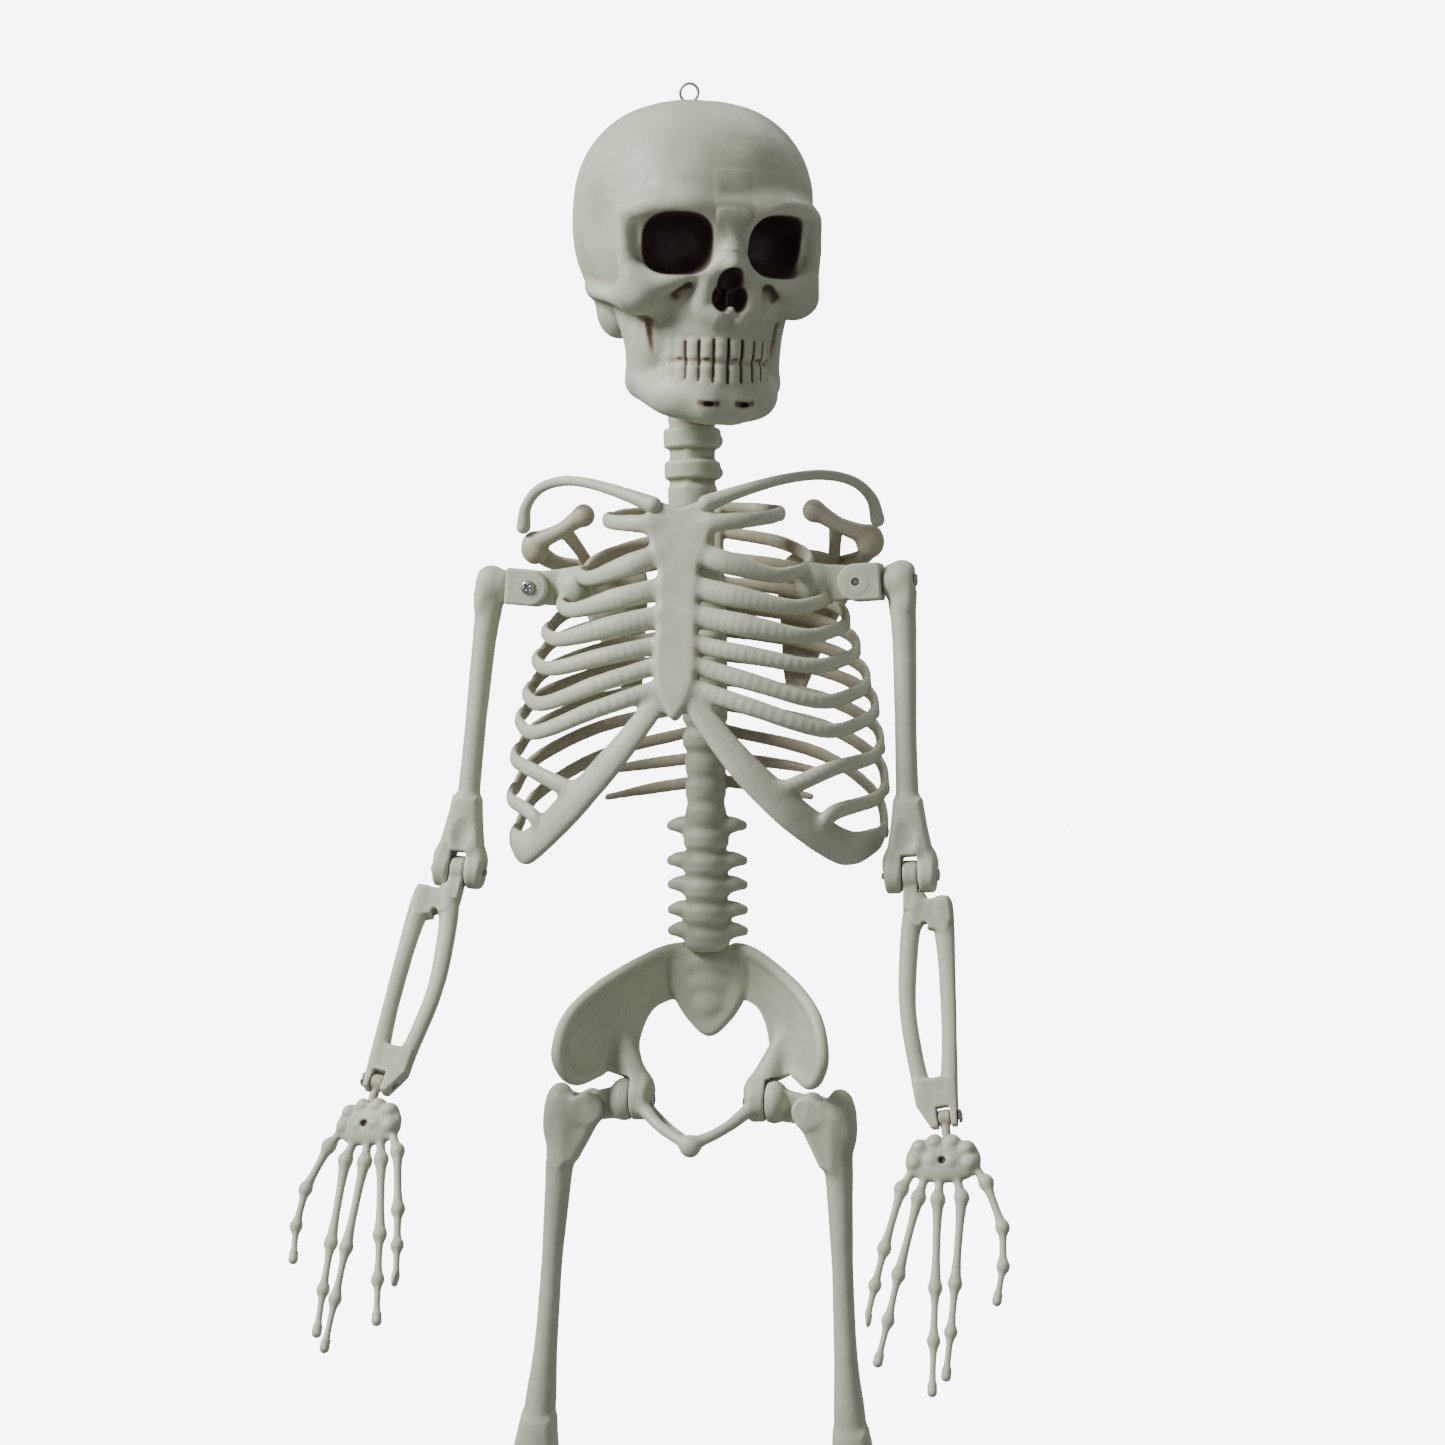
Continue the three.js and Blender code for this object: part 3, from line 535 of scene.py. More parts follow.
def neck():
    clay = Clay((-17, -17, -222), (17, 17, -109), 0.55)
    clay.bar((0, 0, -203), (0, 0, -134), 11.1, 2)
    for top, bottom, radius in (
        (-134, -142, 11.6), (-145, -152, 12.6), (-155, -161, 11.8),
        (-163.5, -173.5, 14.0), (-179.5, -188.5, 13.7), (-191.5, -203, 12.0),
    ):
        clay.bar((0, 0, bottom), (0, 0, top), radius, 1.7, 1.6)
    for level in (-148.5, -168.5, -184):
        clay.limb_pair([(9, 2, level), (12.6, 3.5, level - 1)], [3.2, 2.0], 2, 5)
    for level in (-157, -176.5, -190, -198):
        clay.bar((0, -8.6, level - 3), (0, -8.6, level + 3), 2.6, 1.5, 2)
    clay.bar((0, 0, -136), (0, 0, -111.4), 5.4, 0.6, 1.0)
    clay.bar((-TONGUE, 0, NECK_HINGE), (TONGUE, 0, NECK_HINGE), 7, 0.6)
    clay.add(block((0, 0, NECK_HINGE + 5), (TONGUE, 6, 5.5), 0.6))
    clay.bore((-10, 0, NECK_HINGE), (10, 0, NECK_HINGE), LOOSE_HOLE)
    clay.bore((0, 0, -126), (0, 0, -100), PIN_HOLE)
    return Sculpt(clay, 0.12)


def from_spine(point):
    """The direction straight out from the middle of the rib cage, level."""
    return unit((point[0], point[1] - SEAM, 0.0) if abs(point[0]) + abs(point[1] - SEAM) > 1 else (0, -1, 0))


RIB_FLAT = (from_spine, 0.66)


def shade_inner_sides(cage, strength):
    """Paint brownish shade on the sides of the ribs that face the middle of the rib cage, where they lie in
    shadow.
    """
    inwards = vec(0, SEAM, 0) - cage.points * (1, 1, 0)
    inwards /= np.linalg.norm(inwards, axis=1)[:, None]
    facing = np.clip(1.6 * np.sum(cage.normals() * inwards, axis=1), 0, 1)
    cage.painted_shade = np.maximum(cage.painted_shade, strength * facing)
    return cage


def sternum_y(z):
    return -27 + 0.196 * (z + 201)


# The lower edge of the rib cage from the sternum to its side, and where the two lowest ribs join it.
MARGIN = [
    (6, -46, -294), (32, -49, -326), (56, -43, -350), (77, -28, -366), (89, -9, -364), (92, SEAM, -359.6),
]
LOW_RIB_END = [(46, -46, -341), (67, -36, -358)]


def symmetric(half, foot):
    """A closed outline from the right half of it, given from the top down, and the point at its foot."""
    return [(-x, z) for x, z in half] + [foot] + half[::-1]


def rib_cage_front():
    clay = Clay((-98, -56, -376), (98, 7, -192), 0.85)
    for n, (w, z) in enumerate(zip(RIB_WIDTH[:9], RIB_SIDE)):
        low = z - 4 - 0.8 * n
        y = sternum_y(RIB_FRONT[min(n, len(RIB_FRONT) - 1)])
        points = [
            (w, SEAM + 3, z), (w, SEAM - 1, z), (0.97 * w, -11, (z + low) / 2), (0.8 * w, y * 0.8, low),
        ]
        if n < len(RIB_FRONT):
            points += [(0.45 * w, y - 2, (low + RIB_FRONT[n]) / 2), (8, y, RIB_FRONT[n])]
            wide = 5.6 if 1 <= n <= 3 else 4.4
            radii = [3.4, 3.5, 3.6, 3.8, wide, wide]
        else:
            points, radii = points + [LOW_RIB_END[n - len(RIB_FRONT)]], [3.4, 3.5, 3.8, 4.6]
        clay.limb_pair(points, radii, 1.6, 38, RIB_FLAT)
    clay.limb_pair(MARGIN, [5, 7.4, 9, 8.8, 6.2, 4], 4, 64, (from_spine, 0.4))
    lean = math.radians(-11.1)
    turn = np.array([(1, 0, 0), (0, -math.sin(lean), math.cos(lean)), (0, math.cos(lean), math.sin(lean))])
    half = [(13, 0), (16.5, -10), (14, -21), (10, -33), (9.5, -60), (10, -82), (7, -96)]
    outline = symmetric(half, (0, -107)) + [(0, -3)]
    clay.plate(rounded(outline), 4.2, 2.4, 3.5, origin=(0, -27.5, -201), turn=turn)
    for side in (1, -1):
        # the arm that carries the shoulder
        corners = [(side * -14, 10), (side * -2, -9), (side * 11, -8), (side * 11, 8)]
        clay.plate(corners, TONGUE, 0.8, 1.0, origin=(side * (SHOULDER_X - 11), 0, SHOULDER_Z))
        x, z = side * SHOULDER_X, SHOULDER_Z
        clay.bar((x, -TONGUE, z), (x, TONGUE, z), 8, 0.6)
        clay.lump((side * 58, -3, z), (8, 6, 9), 4)
        clay.bore((x, -10, z), (x, 10, z), LOOSE_HOLE)
    return shade_inner_sides(Sculpt(clay.half(1, SEAM - 0.15, 1), 0.14), 0.2)


def rib_back(n):
    return -199.3 - 12.4 * n


def rib_cage_back():
    clay = Clay((-98, 3, -372), (98, 50, -192), 0.85)
    for n, (w, z) in enumerate(zip(RIB_WIDTH, RIB_SIDE)):
        rise = rib_back(n) - z
        points = [
            (w, SEAM - 4, z), (w, SEAM + 2, z), (0.93 * w, 22, z + 0.35 * rise),
            (0.6 * w, 40, z + 0.75 * rise), (6, 41.5, rib_back(n)),
        ]
        clay.limb_pair(points, [3.4, 3.4, 3.6, 3.4, 3.0], 1.5, 20, RIB_FLAT)
        clay.lump((0, 42.6, rib_back(n)), (5.5, 3.4, 4.4), 2.5)
    for z, reach in [(-324.5, 60), (-336.5, 52)]:
        floating = [(4, 41.5, z), (0.6 * reach, 42, z - 4), (reach, 33, z - 8)]
        clay.limb_pair(floating, [3.2, 3.0, 1.8], 1.5, 14, RIB_FLAT)
    clay.add(block((0, 41.5, -272.5), (7, 3.4, 72.5), 1.6), 2)
    for z in CAGE_SCREWS:
        clay.bar((0, 38.2, z), (0, 45, z), 5.2, 0.6, 1.5)
        clay.bore((0, 30, z), (0, 60, z), PIN_HOLE)
        clay.bore((0, 45.02, z), (0, 60, z), 7)
    return shade_inner_sides(Sculpt(clay.half(1, SEAM + 0.15, -1), 0.14), 0.38)


def spine():
    clay = Clay((-24, -10, -424), (24, 45, -203), 0.7)
    clay.bar((0, COLUMN_Y, -421), (0, COLUMN_Y, -231), 9.3, 2)
    level = -415
    while level < -236:
        radius = 9.7 if -356 < level < -318 else 11.2
        clay.bar((0, COLUMN_Y, level - 3.9), (0, COLUMN_Y, level + 3.9), radius, 2.4, 2.8)
        level += 12.4
    for z in (-359, -376.5, -388.5, -401, -411.5):
        clay.limb_pair([(6, 26, z - 0.5), (13, 26, z + 1), (18, 28, z + 0.5)], [5.2, 4.2, 2.5], 2.5, 10)
        if z > -405:
            clay.limb([(0, 34, z), (0, 40, z - 3), (0, 43, z - 5)], [3.4, 2.4, 1.6], 2, 8)
    clay.limb([(0, 24, -238), (0, 12, -228), (0, 4, -222)], [9, 8.4, 7.5], 3, 8)
    clay.add(block((0, 1.5, -219), (9.5, 6.5, 7), 1.5), 1.5)
    clay.bar((-9.5, 0, NECK_HINGE), (9.5, 0, NECK_HINGE), 7, 0.8, 0.8)
    clay.cut(block((0, 0, -209.8), (SWING_GAP, 15, 9.8), 0.2))
    clay.bore((-12, 0, NECK_HINGE), (12, 0, NECK_HINGE), PIN_HOLE)
    for z in (*CAGE_SCREWS, PELVIS_SCREW):
        clay.bore((0, 24, z), (0, 60, z), PIN_HOLE)
    return Sculpt(clay, 0.14)


def scapula():
    clay = Clay((28, 4, -300), (96, 54, -196), 0.6)
    outline = [
        (66, -226), (46, -221), (34, -232), (35, -262), (37, -288), (44, -296), (50, -284), (58, -262), (72, -238),
    ]
    clay.plate(rounded(outline), 1.5, 0.8, origin=(0, 48, 0))
    clay.limb([(70, 48, -240), (57, 48.2, -264), (44, 48.2, -293)], [2.6, 2.2, 1.6], 1.5, 14)
    clay.limb([(40, 48.4, -237), (62, 48, -229), (78, 35, -226), (85, 20, -220)], [2.2, 3.6, 4, 5], 2.5, 18)
    clay.lump((84.5, 18, -219), (7, 6.5, 8.4), 3)
    clay.limb([(62, 47, -230), (65, 32, -220), (68, 17, -212)], [3.2, 3, 3.6], 2, 12)
    clay.limb([(80, 16, -215), (69, 14, -210.5), (58, 12, -203.5)], [4.6, 3.8, 4.8], 2, 14)
    clay.lump((57.5, 12, -204), (5.2, 4.0, 5.6), 2)
    return Sculpt(clay, 0.12)


def clavicle():
    clay = Clay((8, -38, -214), (96, 20, -180), 0.55)
    points = [(13, -31.5, -202.5), (27, -26, -197), (47, -15, -190.5), (64, -3, -187.8), (78, 5, -190.5),
              (86.5, 10, -198.5), (89, 13, -209)]
    clay.limb(points, [4.2, 3.2, 2.6, 2.5, 2.6, 2.8, 3.6], 2, 40)
    return Sculpt(clay, 0.1)


# The outline of the hip bone's wing as [x, z], and how far it flares from straight sideways.
WING = [
    (14, -420), (24, -422), (45, -435), (60, -449), (66, -466), (63, -477),
    (57, -481), (48, -478), (31, -482), (31, -466), (25, -450), (14, -442),
]
WING_ROOT = vec(16, 31, 0)
FLARE = math.radians(46)


def wing_bowl(u, v):
    """How far the wing bulges backwards at [u, v]."""
    return 4.2 * np.clip(1 - ((u - 30) / 40) ** 2 - ((v + 452) / 42) ** 2, -0.4, 1)


def pelvis():
    clay = Clay((-76, -30, -523), (76, 50, -404), 0.72)
    sacrum = symmetric([(17, -420), (20, -432), (17, -446), (8, -459)], (0, -464))
    clay.plate(rounded(sacrum), 6, 3, origin=(0, 32, 0))
    clay.add(block((0, 41, -428.5), (8, 3, 21), 1), 1.5)
    for z, wide in ((-427, 9), (-437, 8), (-447, 6)):
        clay.lump((0, 27, z), (wide, 3.4, 5), 4)
    for side in (1, -1):
        root = WING_ROOT * (side, 1, 1)
        out = vec(side * math.cos(FLARE), -math.sin(FLARE), 0)
        turn = np.array([out, (0, 0, 1), (side * math.sin(FLARE), math.cos(FLARE), 0)])
        flat = [((x - 16) / math.cos(FLARE), z) for x, z in WING]
        clay.plate(rounded(flat, 60), 2.2, 1.4, 2.5, origin=root, turn=turn, bend=wing_bowl)
        crest = [
            root + out * (x - 16) / math.cos(FLARE) + vec(0, 0, z) + turn[2] * float(wing_bowl(u, z))
            for (x, z), (u, _) in zip(WING[:8], flat)
        ]
        clay.limb(crest, [2.6, 2.6, 2.6, 2.8, 3.0, 3.2, 3.0, 2.8], 3, 44)
        clay.bar((side * 25.5, HIP_Y, HIP_Z), (side * 33.6, HIP_Y, HIP_Z), 10, 1.6, 3)
        clay.limb([(side * 30, 3, -488), (side * 35, 6, -476), (side * 40, 10, -462)], [7.5, 6, 3.5], 6, 12)
        # the upper and the lower strand in front
        upper = [(side * 30, -2, -492), (side * 17, -12.5, -502.5), (side * 2, -20.5, -510)]
        clay.limb(upper, [3.8, 2.7, 2.9], 2.5, 14)
        lower = [(side * 29, 9, -494), (side * 22, 6, -500), (side * 12, -6, -505), (side * 2, -18, -509)]
        clay.limb(lower, [2.6, 1.9, 1.8, 2.2], 2, 16)
    clay.lump((0, -20.5, -511), (5.4, 4.2, 5.6), 2)
    for side in (1, -1):
        clay.bore((side * 33.62, HIP_Y, HIP_Z), (side * 45, HIP_Y, HIP_Z), 12)
        clay.bore((side * 15, HIP_Y, HIP_Z), (side * 40, HIP_Y, HIP_Z), PIN_HOLE)
    clay.bore((0, 30, PELVIS_SCREW), (0, 60, PELVIS_SCREW), PIN_HOLE)
    clay.bore((0, 44.02, PELVIS_SCREW), (0, 60, PELVIS_SCREW), 6)
    return Sculpt(clay, 0.14)


# Arms and legs are sculpted for the left side; the right side is their mirror image.

UPPER_ARM, LOWER_ARM = 142, 116
CARRY, DRIFT = 7, 8  # degrees that the forearm leans outwards, and the hand leans back
UPPER_LEG, LOWER_LEG = 200, 188
LEG_SHAFT = 11  # how far outside its hip hinge the femur's shaft stands
SOLE = -40


def about_y(degrees):
    a = math.radians(degrees)
    return np.array([(math.cos(a), 0, -math.sin(a)), (0, 1, 0), (math.sin(a), 0, math.cos(a))])


def shoulder_knuckle():
    clay = Clay((-11, -11, -11), (14, 11, 11), 0.45)
    clay.bar((0, -9, 0), (0, 9, 0), 9, 1.0)
    clay.add(block((6, 0, 0), (6, 9, 9), 1.2))
    for side in (-1, 1):
        clay.bar((0, side * 8, 0), (0, side * 9, 0), 6.2, 0.5, 0.8)
    clay.cut(block((-1.2, 0, 0), (10, SWING_GAP, 14), 0.2))
    clay.bore((0, -14, 0), (0, 14, 0), PIN_HOLE)
    clay.bore((5, 0, 0), (15, 0, 0), PIN_HOLE)
    return Sculpt(clay, 0.08)


def bone_fork(clay, x, level, half, slot_above, slot_half=SWING_GAP):
    """Slot a hinge fork and bore its pin hole along X, through [x, level]."""
    clay.cut(block((x, 0, level + slot_above - 20), (slot_half, 18, 20), 0.4))
    clay.bore((x - half, 0, level), (x + half, 0, level), PIN_HOLE)


def flare(x, level, half):
    """The outline of a bone's widened end, from [half width, height above its hinge] from the top down."""
    return [(x - w, level + z) for w, z in half] + [(x + w, level + z) for w, z in half[::-1]]


def humerus():
    end = -UPPER_ARM
    clay = Clay((-14, -13, end - 11), (16, 13, 12), 0.62)
    shaft = [(0, 0, -4), (0.6, 0, -30), (0, -0.6, -70), (-0.4, 0, -108), (0, 0, end + 14)]
    clay.limb(shaft, [7.0, 5.8, 5.2, 5.6, 8.6], 3, 24)
    clay.bar((-8.6, 0, 0), (6, 0, 0), 7.6, 3.0, 3)
    clay.lump((0.4, 0, 0.5), (7.4, 8.6, 9.4), 3)
    clay.lump((3.2, -3.4, -8), (3.8, 4.6, 8), 3)
    clay.plate(flare(0, end, [(6.4, 36), (8.6, 20), (12, 5), (12, -3)]), 6.4, 3, 4)
    for side in (1, -1):
        clay.bar((side * 4.2, 0, end), (side * 12, 0, end), 8.6, 1.8, 2)
        clay.lump((side * 10, 0, end + 6), (3, 5.6, 6.4), 2.5)
        clay.cut(ellipsoid((side * 1.5, side * 8.6, end + 17), (4.6, 2.6, 7)), 3)
    bone_fork(clay, 0, end, 15, 9)
    clay.bore((-12, 0, 0), (10.5, 0, 0), LOOSE_HOLE)
    clay.bore((6.02, 0, 0), (15, 0, 0), 6)
    return Sculpt(clay, 0.12)


def forearm():
    end = -LOWER_ARM
    clay = Clay((-32, -9, end - 8), (20, 9, 9), 0.6)
    lean = about_y(-CARRY)
    flat = (lambda point: (0, 1, 0), 0.86)

    def lay(*points):
        return [vec(*p) @ lean for p in points]

    ulna = lay((1, 0, -13), (-4.6, 0, -30), (-10, 0, -62), (-9.4, 0, -92), (-7.5, 0, end + 11))
    clay.limb(ulna, [5.6, 4.6, 4.0, 4.0, 5.0], 2, 22, flat)
    radius = lay((12.6, 0, -17), (11.6, 0, -44), (9, 0, -76), (4.5, 0, end + 10))
    clay.limb(radius, [5.4, 4.6, 4.8, 5.2], 2, 20, flat)
    slab = lean[[0, 2, 1]]
    head = [(5.5, -13), (16.6, -13), (16.6, -24), (13, -30), (4, -27), (-3, -24), (-3, -15)]
    clay.plate(head, 4.4, 1.2, 1.5, turn=slab)
    foot = [(-12, 19), (7.6, 19), (8.4, 8), (6.4, -4.6), (-6.4, -4.6), (-12.4, 7)]
    clay.plate([(x, end + z) for x, z in foot], 4.4, 1.4, 1.5, turn=slab)
    clay.bore(*lay((3.4, -8, -25.5), (3.4, 8, -25.5)), 1.7)
    clay.bar((-TONGUE, 0, 0), (TONGUE, 0, 0), 7.2, 1.0)
    clay.add(block((0, 0, -8.5), (TONGUE, 4.5, 9), 0.8), 1.0)
    clay.cut(block(*lay((0, 0, end - 15)), (3.1, 12, 20), 0.3, lean))
    clay.bore(*lay((-10, 0, end), (10, 0, end)), PIN_HOLE)
    clay.bore((-9, 0, 0), (9, 0, 0), LOOSE_HOLE)
    return Sculpt(clay, 0.1)


def wrist_link():
    clay = Clay((-4, -6, -17), (4, 6, 5), 0.3)
    clay.bar((-2.7, 0, 0), (2.7, 0, 0), 3.8, 0.7)
    clay.bar((0, 0, -16), (0, 0, -1), 2.1, 0.5, 1)
    clay.bore((-5, 0, 0), (5, 0, 0), LOOSE_HOLE)
    return Sculpt(clay, 0.03, 1.2)


# Finger bones as [x, z] joints from the wrist: little, ring, middle and index fingers, then the thumb.
FINGERS = [
    [(-12, -22), (-19, -34), (-26, -62), (-29.6, -79), (-33, -96)],
    [(-7, -24), (-11, -38), (-19, -74), (-23, -95), (-27, -114)],
    [(-1, -24), (-2, -39), (-2, -80), (-2, -104), (-2, -127)],
    [(5, -24), (9, -38), (7, -78), (5.6, -100), (4, -120)],
    [(12, -20), (20, -31), (28, -52), (28.6, -70), (26, -86)],
]


def hand():
    clay = Clay((-46, -9, -131), (34, 8, -4), 0.55)
    lean = about_y(DRIFT)

    def lay(x, y, z):
        return vec(x, y, z) @ lean

    clay.lump(lay(0, 0, -20.5), (17.5, 4.6, 10.5), turn=lean, power=2.3)
    near_row = [(-11, -15), (-4, -12.5), (4, -12.5), (11, -15.5)]
    far_row = [(-13, -22), (-5, -21), (4, -21.5), (12.5, -22)]
    for x, z in near_row + far_row:
        clay.lump(lay(x, -1, z), (4.2, 4.6, 4.2), 1.2, turn=lean)
    for ray in FINGERS:
        joints = [lay(x, 0, z) for x, z in ray]
        for n, (a, b) in enumerate(zip(joints[:-1], joints[1:])):
            thin = 2.1 - 0.2 * n
            path = [a, a + (b - a) * 0.3, a + (b - a) * 0.7, b]
            clay.limb(path, [thin + 1.1, thin, thin, thin + 0.9], 1.2, 12)
        for n, joint in enumerate(joints[1:-1]):
            clay.lump(joint, (3.5 - 0.3 * n, 3.1 - 0.2 * n, 3.9 - 0.3 * n), 1.2)
        way = unit(joints[-1] - joints[-2])
        clay.bar(joints[-1] - way * 4, joints[-1] + way * 1.2, 2.2, 0.5, 0.8, top=1.7)
    clay.bore((0, 0, -5), (0, 0, -17.5), 2.8)
    clay.cut(ellipsoid(lay(0, -5.5, -21.5), (1.9, 3, 1.9), lean), 0.5)
    clay.bore((0, 0, 2), (0, 0, -5.6), 9, 0.3)
    made = Sculpt(clay, 0.08, 1.6)
    # painted shade in the pit of the palm
    made.paint_line("painted_shade", [lay(0, -5.4, -21.5), lay(0, -3, -21.6)], 2.4)
    return made


def hip_knuckle():
    clay = Clay((-3, -12, -14), (30, 12, 13), 0.5)
    clay.lump((3.5, 0, 0), (7.5, 10, 10.5))
    clay.bar((0, 0, 0), (5, 0, 0), 9, 1, 2)
    clay = clay.half(0, 0, -1)
    tongue = [(5, 7), (5, -9), (21, -11), (21, 3)]
    clay.plate(tongue, 3.5, 0.8, 1.5)
    clay.bar((21, -3.5, -4), (21, 3.5, -4), 7, 0.7)
    clay.bore((-3, 0, 0), (12, 0, 0), LOOSE_HOLE)
    clay.bore((21, -8, -4), (21, 8, -4), LOOSE_HOLE)
    return Sculpt(clay, 0.08)


def femur():
    x, end = LEG_SHAFT, -UPPER_LEG
    clay = Clay((-12, -15, end - 13), (32, 15, 14), 0.75)
    clay.bar((0, -8.5, 0), (0, 8.5, 0), 8, 1.6)
    neck_plate = [(0, 7), (-5, -6), (x - 7, -27), (x, -30), (x + 3, 4)]
    clay.plate(neck_plate, 8, 2.6, 3)
    clay.lump((x + 4, 0, 1), (7, 8, 9), 3)
    clay.lump((x + 7, 0, -9), (4.6, 6.4, 10), 4)
    clay.cut(ellipsoid((6.8, 0, 12.5), (4.2, 14, 7.5)), 2)
    shaft = [(x + 1, 0, -4), (x + 1.4, 0, -32), (x + 0.6, -1, -75), (x - 0.4, -1.4, -120), (x, 0, end + 18)]
    clay.limb(shaft, [8.6, 6.8, 5.2, 5.6, 10], 4, 26)
    clay.plate(flare(x, end, [(7, 44), (11, 22), (15, 6), (14.4, -5)]), 8, 3.4, 5)
    for side in (1, -1):
        clay.bar((x + side * 5.4, 0, end), (x + side * 15, 0, end), 10.4, 2.6, 3)
    clay.lump((x, -7.6, end + 16), (6.5, 2.6, 9), 3)
    clay.cut(block((-8, 0, 6), (12, SWING_GAP, 14), 0.3))
    clay.bore((0, -SWING_GAP, 0), (0, SWING_GAP, 0), 9.8, 0.3)
    bone_fork(clay, x, end, 20, 11, 5.4)
    clay.bore((0, -6.3, 0), (0, 12, 0), PIN_HOLE)
    clay.bore((0, 8.52, 0), (0, 14, 0), 5)
    clay.bore((x + 15.02, 0, end), (x + 20, 0, end), 6)
    return Sculpt(clay, 0.14)


def shin():
    end = -LOWER_LEG
    clay = Clay((-18, -12, end - 9), (20, 12, 11), 0.75)
    clay.bar((-5, 0, 0), (5, 0, 0), 9.2, 1.2)
    clay.add(block((0, 0, -12), (5, 7, 12), 1.2), 1.2)
    plateau = [(-14.6, -14), (-14.6, -20), (-10, -36), (8, -34), (14.6, -22), (14.6, -14)]
    clay.plate(plateau, 8, 2.8, 3)
    tibia = [(-3, 0, -22), (-3, -0.6, -60), (-3, -0.6, -110), (-2, 0, end + 16)]
    clay.limb(tibia, [9, 6.2, 5.4, 7.4], 4, 24)
    fibula = [(11, 2, -22), (13.8, 3, -60), (13.4, 3, -125), (8, 0, end + 12)]
    clay.limb(fibula, [4.6, 3.2, 3.1, 4.4], 2.5, 24)
    clay.lump((-2, -6.4, -28), (4, 2.8, 9), 3)
    clay.add(block((0, 0, end + 13), (10.6, 6.4, 11.5), 2.4), 2.5)
    for side in (1, -1):
        clay.bar((side * 5.4, 0, end), (side * 11, 0, end), 6.8, 1.6, 1.5)
    bone_fork(clay, 0, end, 14, 8, 5.4)
    clay.bore((-12, 0, 0), (12, 0, 0), LOOSE_HOLE)
    clay.bore((11.02, 0, end), (16, 0, end), 6)
    return Sculpt(clay, 0.14)


# Toe bones as [start x, end x, end y], big toe first.
TOES = [(-8, -14, -92), (-4, -6.5, -90), (0, 0.5, -86), (4, 7.5, -80), (8, 14, -72)]


def foot():
    clay = Clay((-22, -98, SOLE - 2), (22, 37, 9), 0.72)
    clay.bar((-5, 0, 0), (5, 0, 0), 6.5, 1)
    clay.add(block((0, 0, -11), (5, 6, 11), 1.2), 1)
    clay.lump((0, 18, SOLE + 13), (8.6, 14.6, 13.4), 4, power=2.3)
    clay.lump((0, -8, -25), (12.4, 20, 9.4), 5)
    for x, y in [(-7, -22), (0, -24), (7, -20), (-8, -10), (8, -8)]:
        clay.lump((x, y, -19.5), (5.2, 6.5, 4.6), 1.6)
    for n, (x0, x1, y1) in enumerate(TOES):
        big = 1.25 if n == 0 else 1.0
        rest = SOLE + 2.9 * big
        knuckle, tip = vec((x0 + 2 * x1) / 3, y1 * 0.62, rest + 3.4), vec(x1, y1 + 2, rest)
        middle = knuckle + (tip - knuckle) * 0.55
        sole_bone = [(x0, -14, -23), ((x0 + x1) / 2, -36, -27.5), knuckle]
        clay.limb(sole_bone, [4.4 * big, 2.6 * big, 3.2 * big], 2, 14)
        clay.limb([knuckle, (knuckle + middle) / 2, middle], [3.3 * big, 2.3 * big, 2.9 * big], 1.2, 8)
        clay.limb([middle, (middle + tip) / 2, tip], [2.9 * big, 2.3 * big, 2.6 * big], 1.2, 8)
        clay.lump(knuckle, 3.7 * big, 1.2)
    clay.bore((-9, 0, 0), (9, 0, 0), LOOSE_HOLE)
    clay = clay.half(2, SOLE, -1)
    return Sculpt(clay, 0.12)


# ---- screws, pins and the eyelet

HEAD_RADIUS, HEAD_LENGTH, SHANK = 3.2, 1.8, 1.5


def screw(length):
    """A pan-head screw along -Z: the top of its head is at 0 and its tip at -length."""
    clay = Clay((-3.8, -3.8, -length - 0.6), (3.8, 3.8, 0.6), 0.24)
    clay.lump((0, 0, -1.6), (HEAD_RADIUS + 0.1, HEAD_RADIUS + 0.1, 1.6), power=2.6)
    clay = clay.half(2, -HEAD_LENGTH, -1)
    clay.bar((0, 0, -length), (0, 0, -1), SHANK, 0.3)
    for angle in (45, 135):
        clay.cut(block((0, 0, 0), (1.9, 0.42, 1.15), 0.12, about_z(angle)), 0.15)
    return Sculpt(clay, 0, 0.8)


def eyelet():
    ring, wire = 4.5, 0.75
    clay = Clay((-6, -2, -18.2), (6, 2, 6), 0.2)
    loop = [(ring * math.sin(a), 0, -ring * math.cos(a)) for a in np.linspace(0.1, 2 * math.pi - 0.02, 24)]
    clay.limb(loop, [wire], 0.2, 48)
    clay.limb([(0, 0, -ring), (0, 0, -ring - 2), (0, 0, -17.4)], [wire, 0.9, 0.9], 0.6, 12)
    return Sculpt(clay, 0, 0.8)


def eyelet_nut():
    clay = Clay((-5, -5, -15), (5, 5, -11), 0.25)
    clay.bar((0, 0, -14.4), (0, 0, -12), 3.6, 0.3)
    for side in range(6):
        x, y = 3.15 * math.cos(side * math.pi / 3), 3.15 * math.sin(side * math.pi / 3)
        clay.cut(block((2 * x, 2 * y, -13.2), (3.15, 6, 3), 0.05, about_z(side * 60)))
    clay.bore((0, 0, -16), (0, 0, -10), 1.4, 0.1)
    return Sculpt(clay, 0, 0.8)


# ---- finishes


def socket(node, name, value):
    node.inputs[name].default_value = value


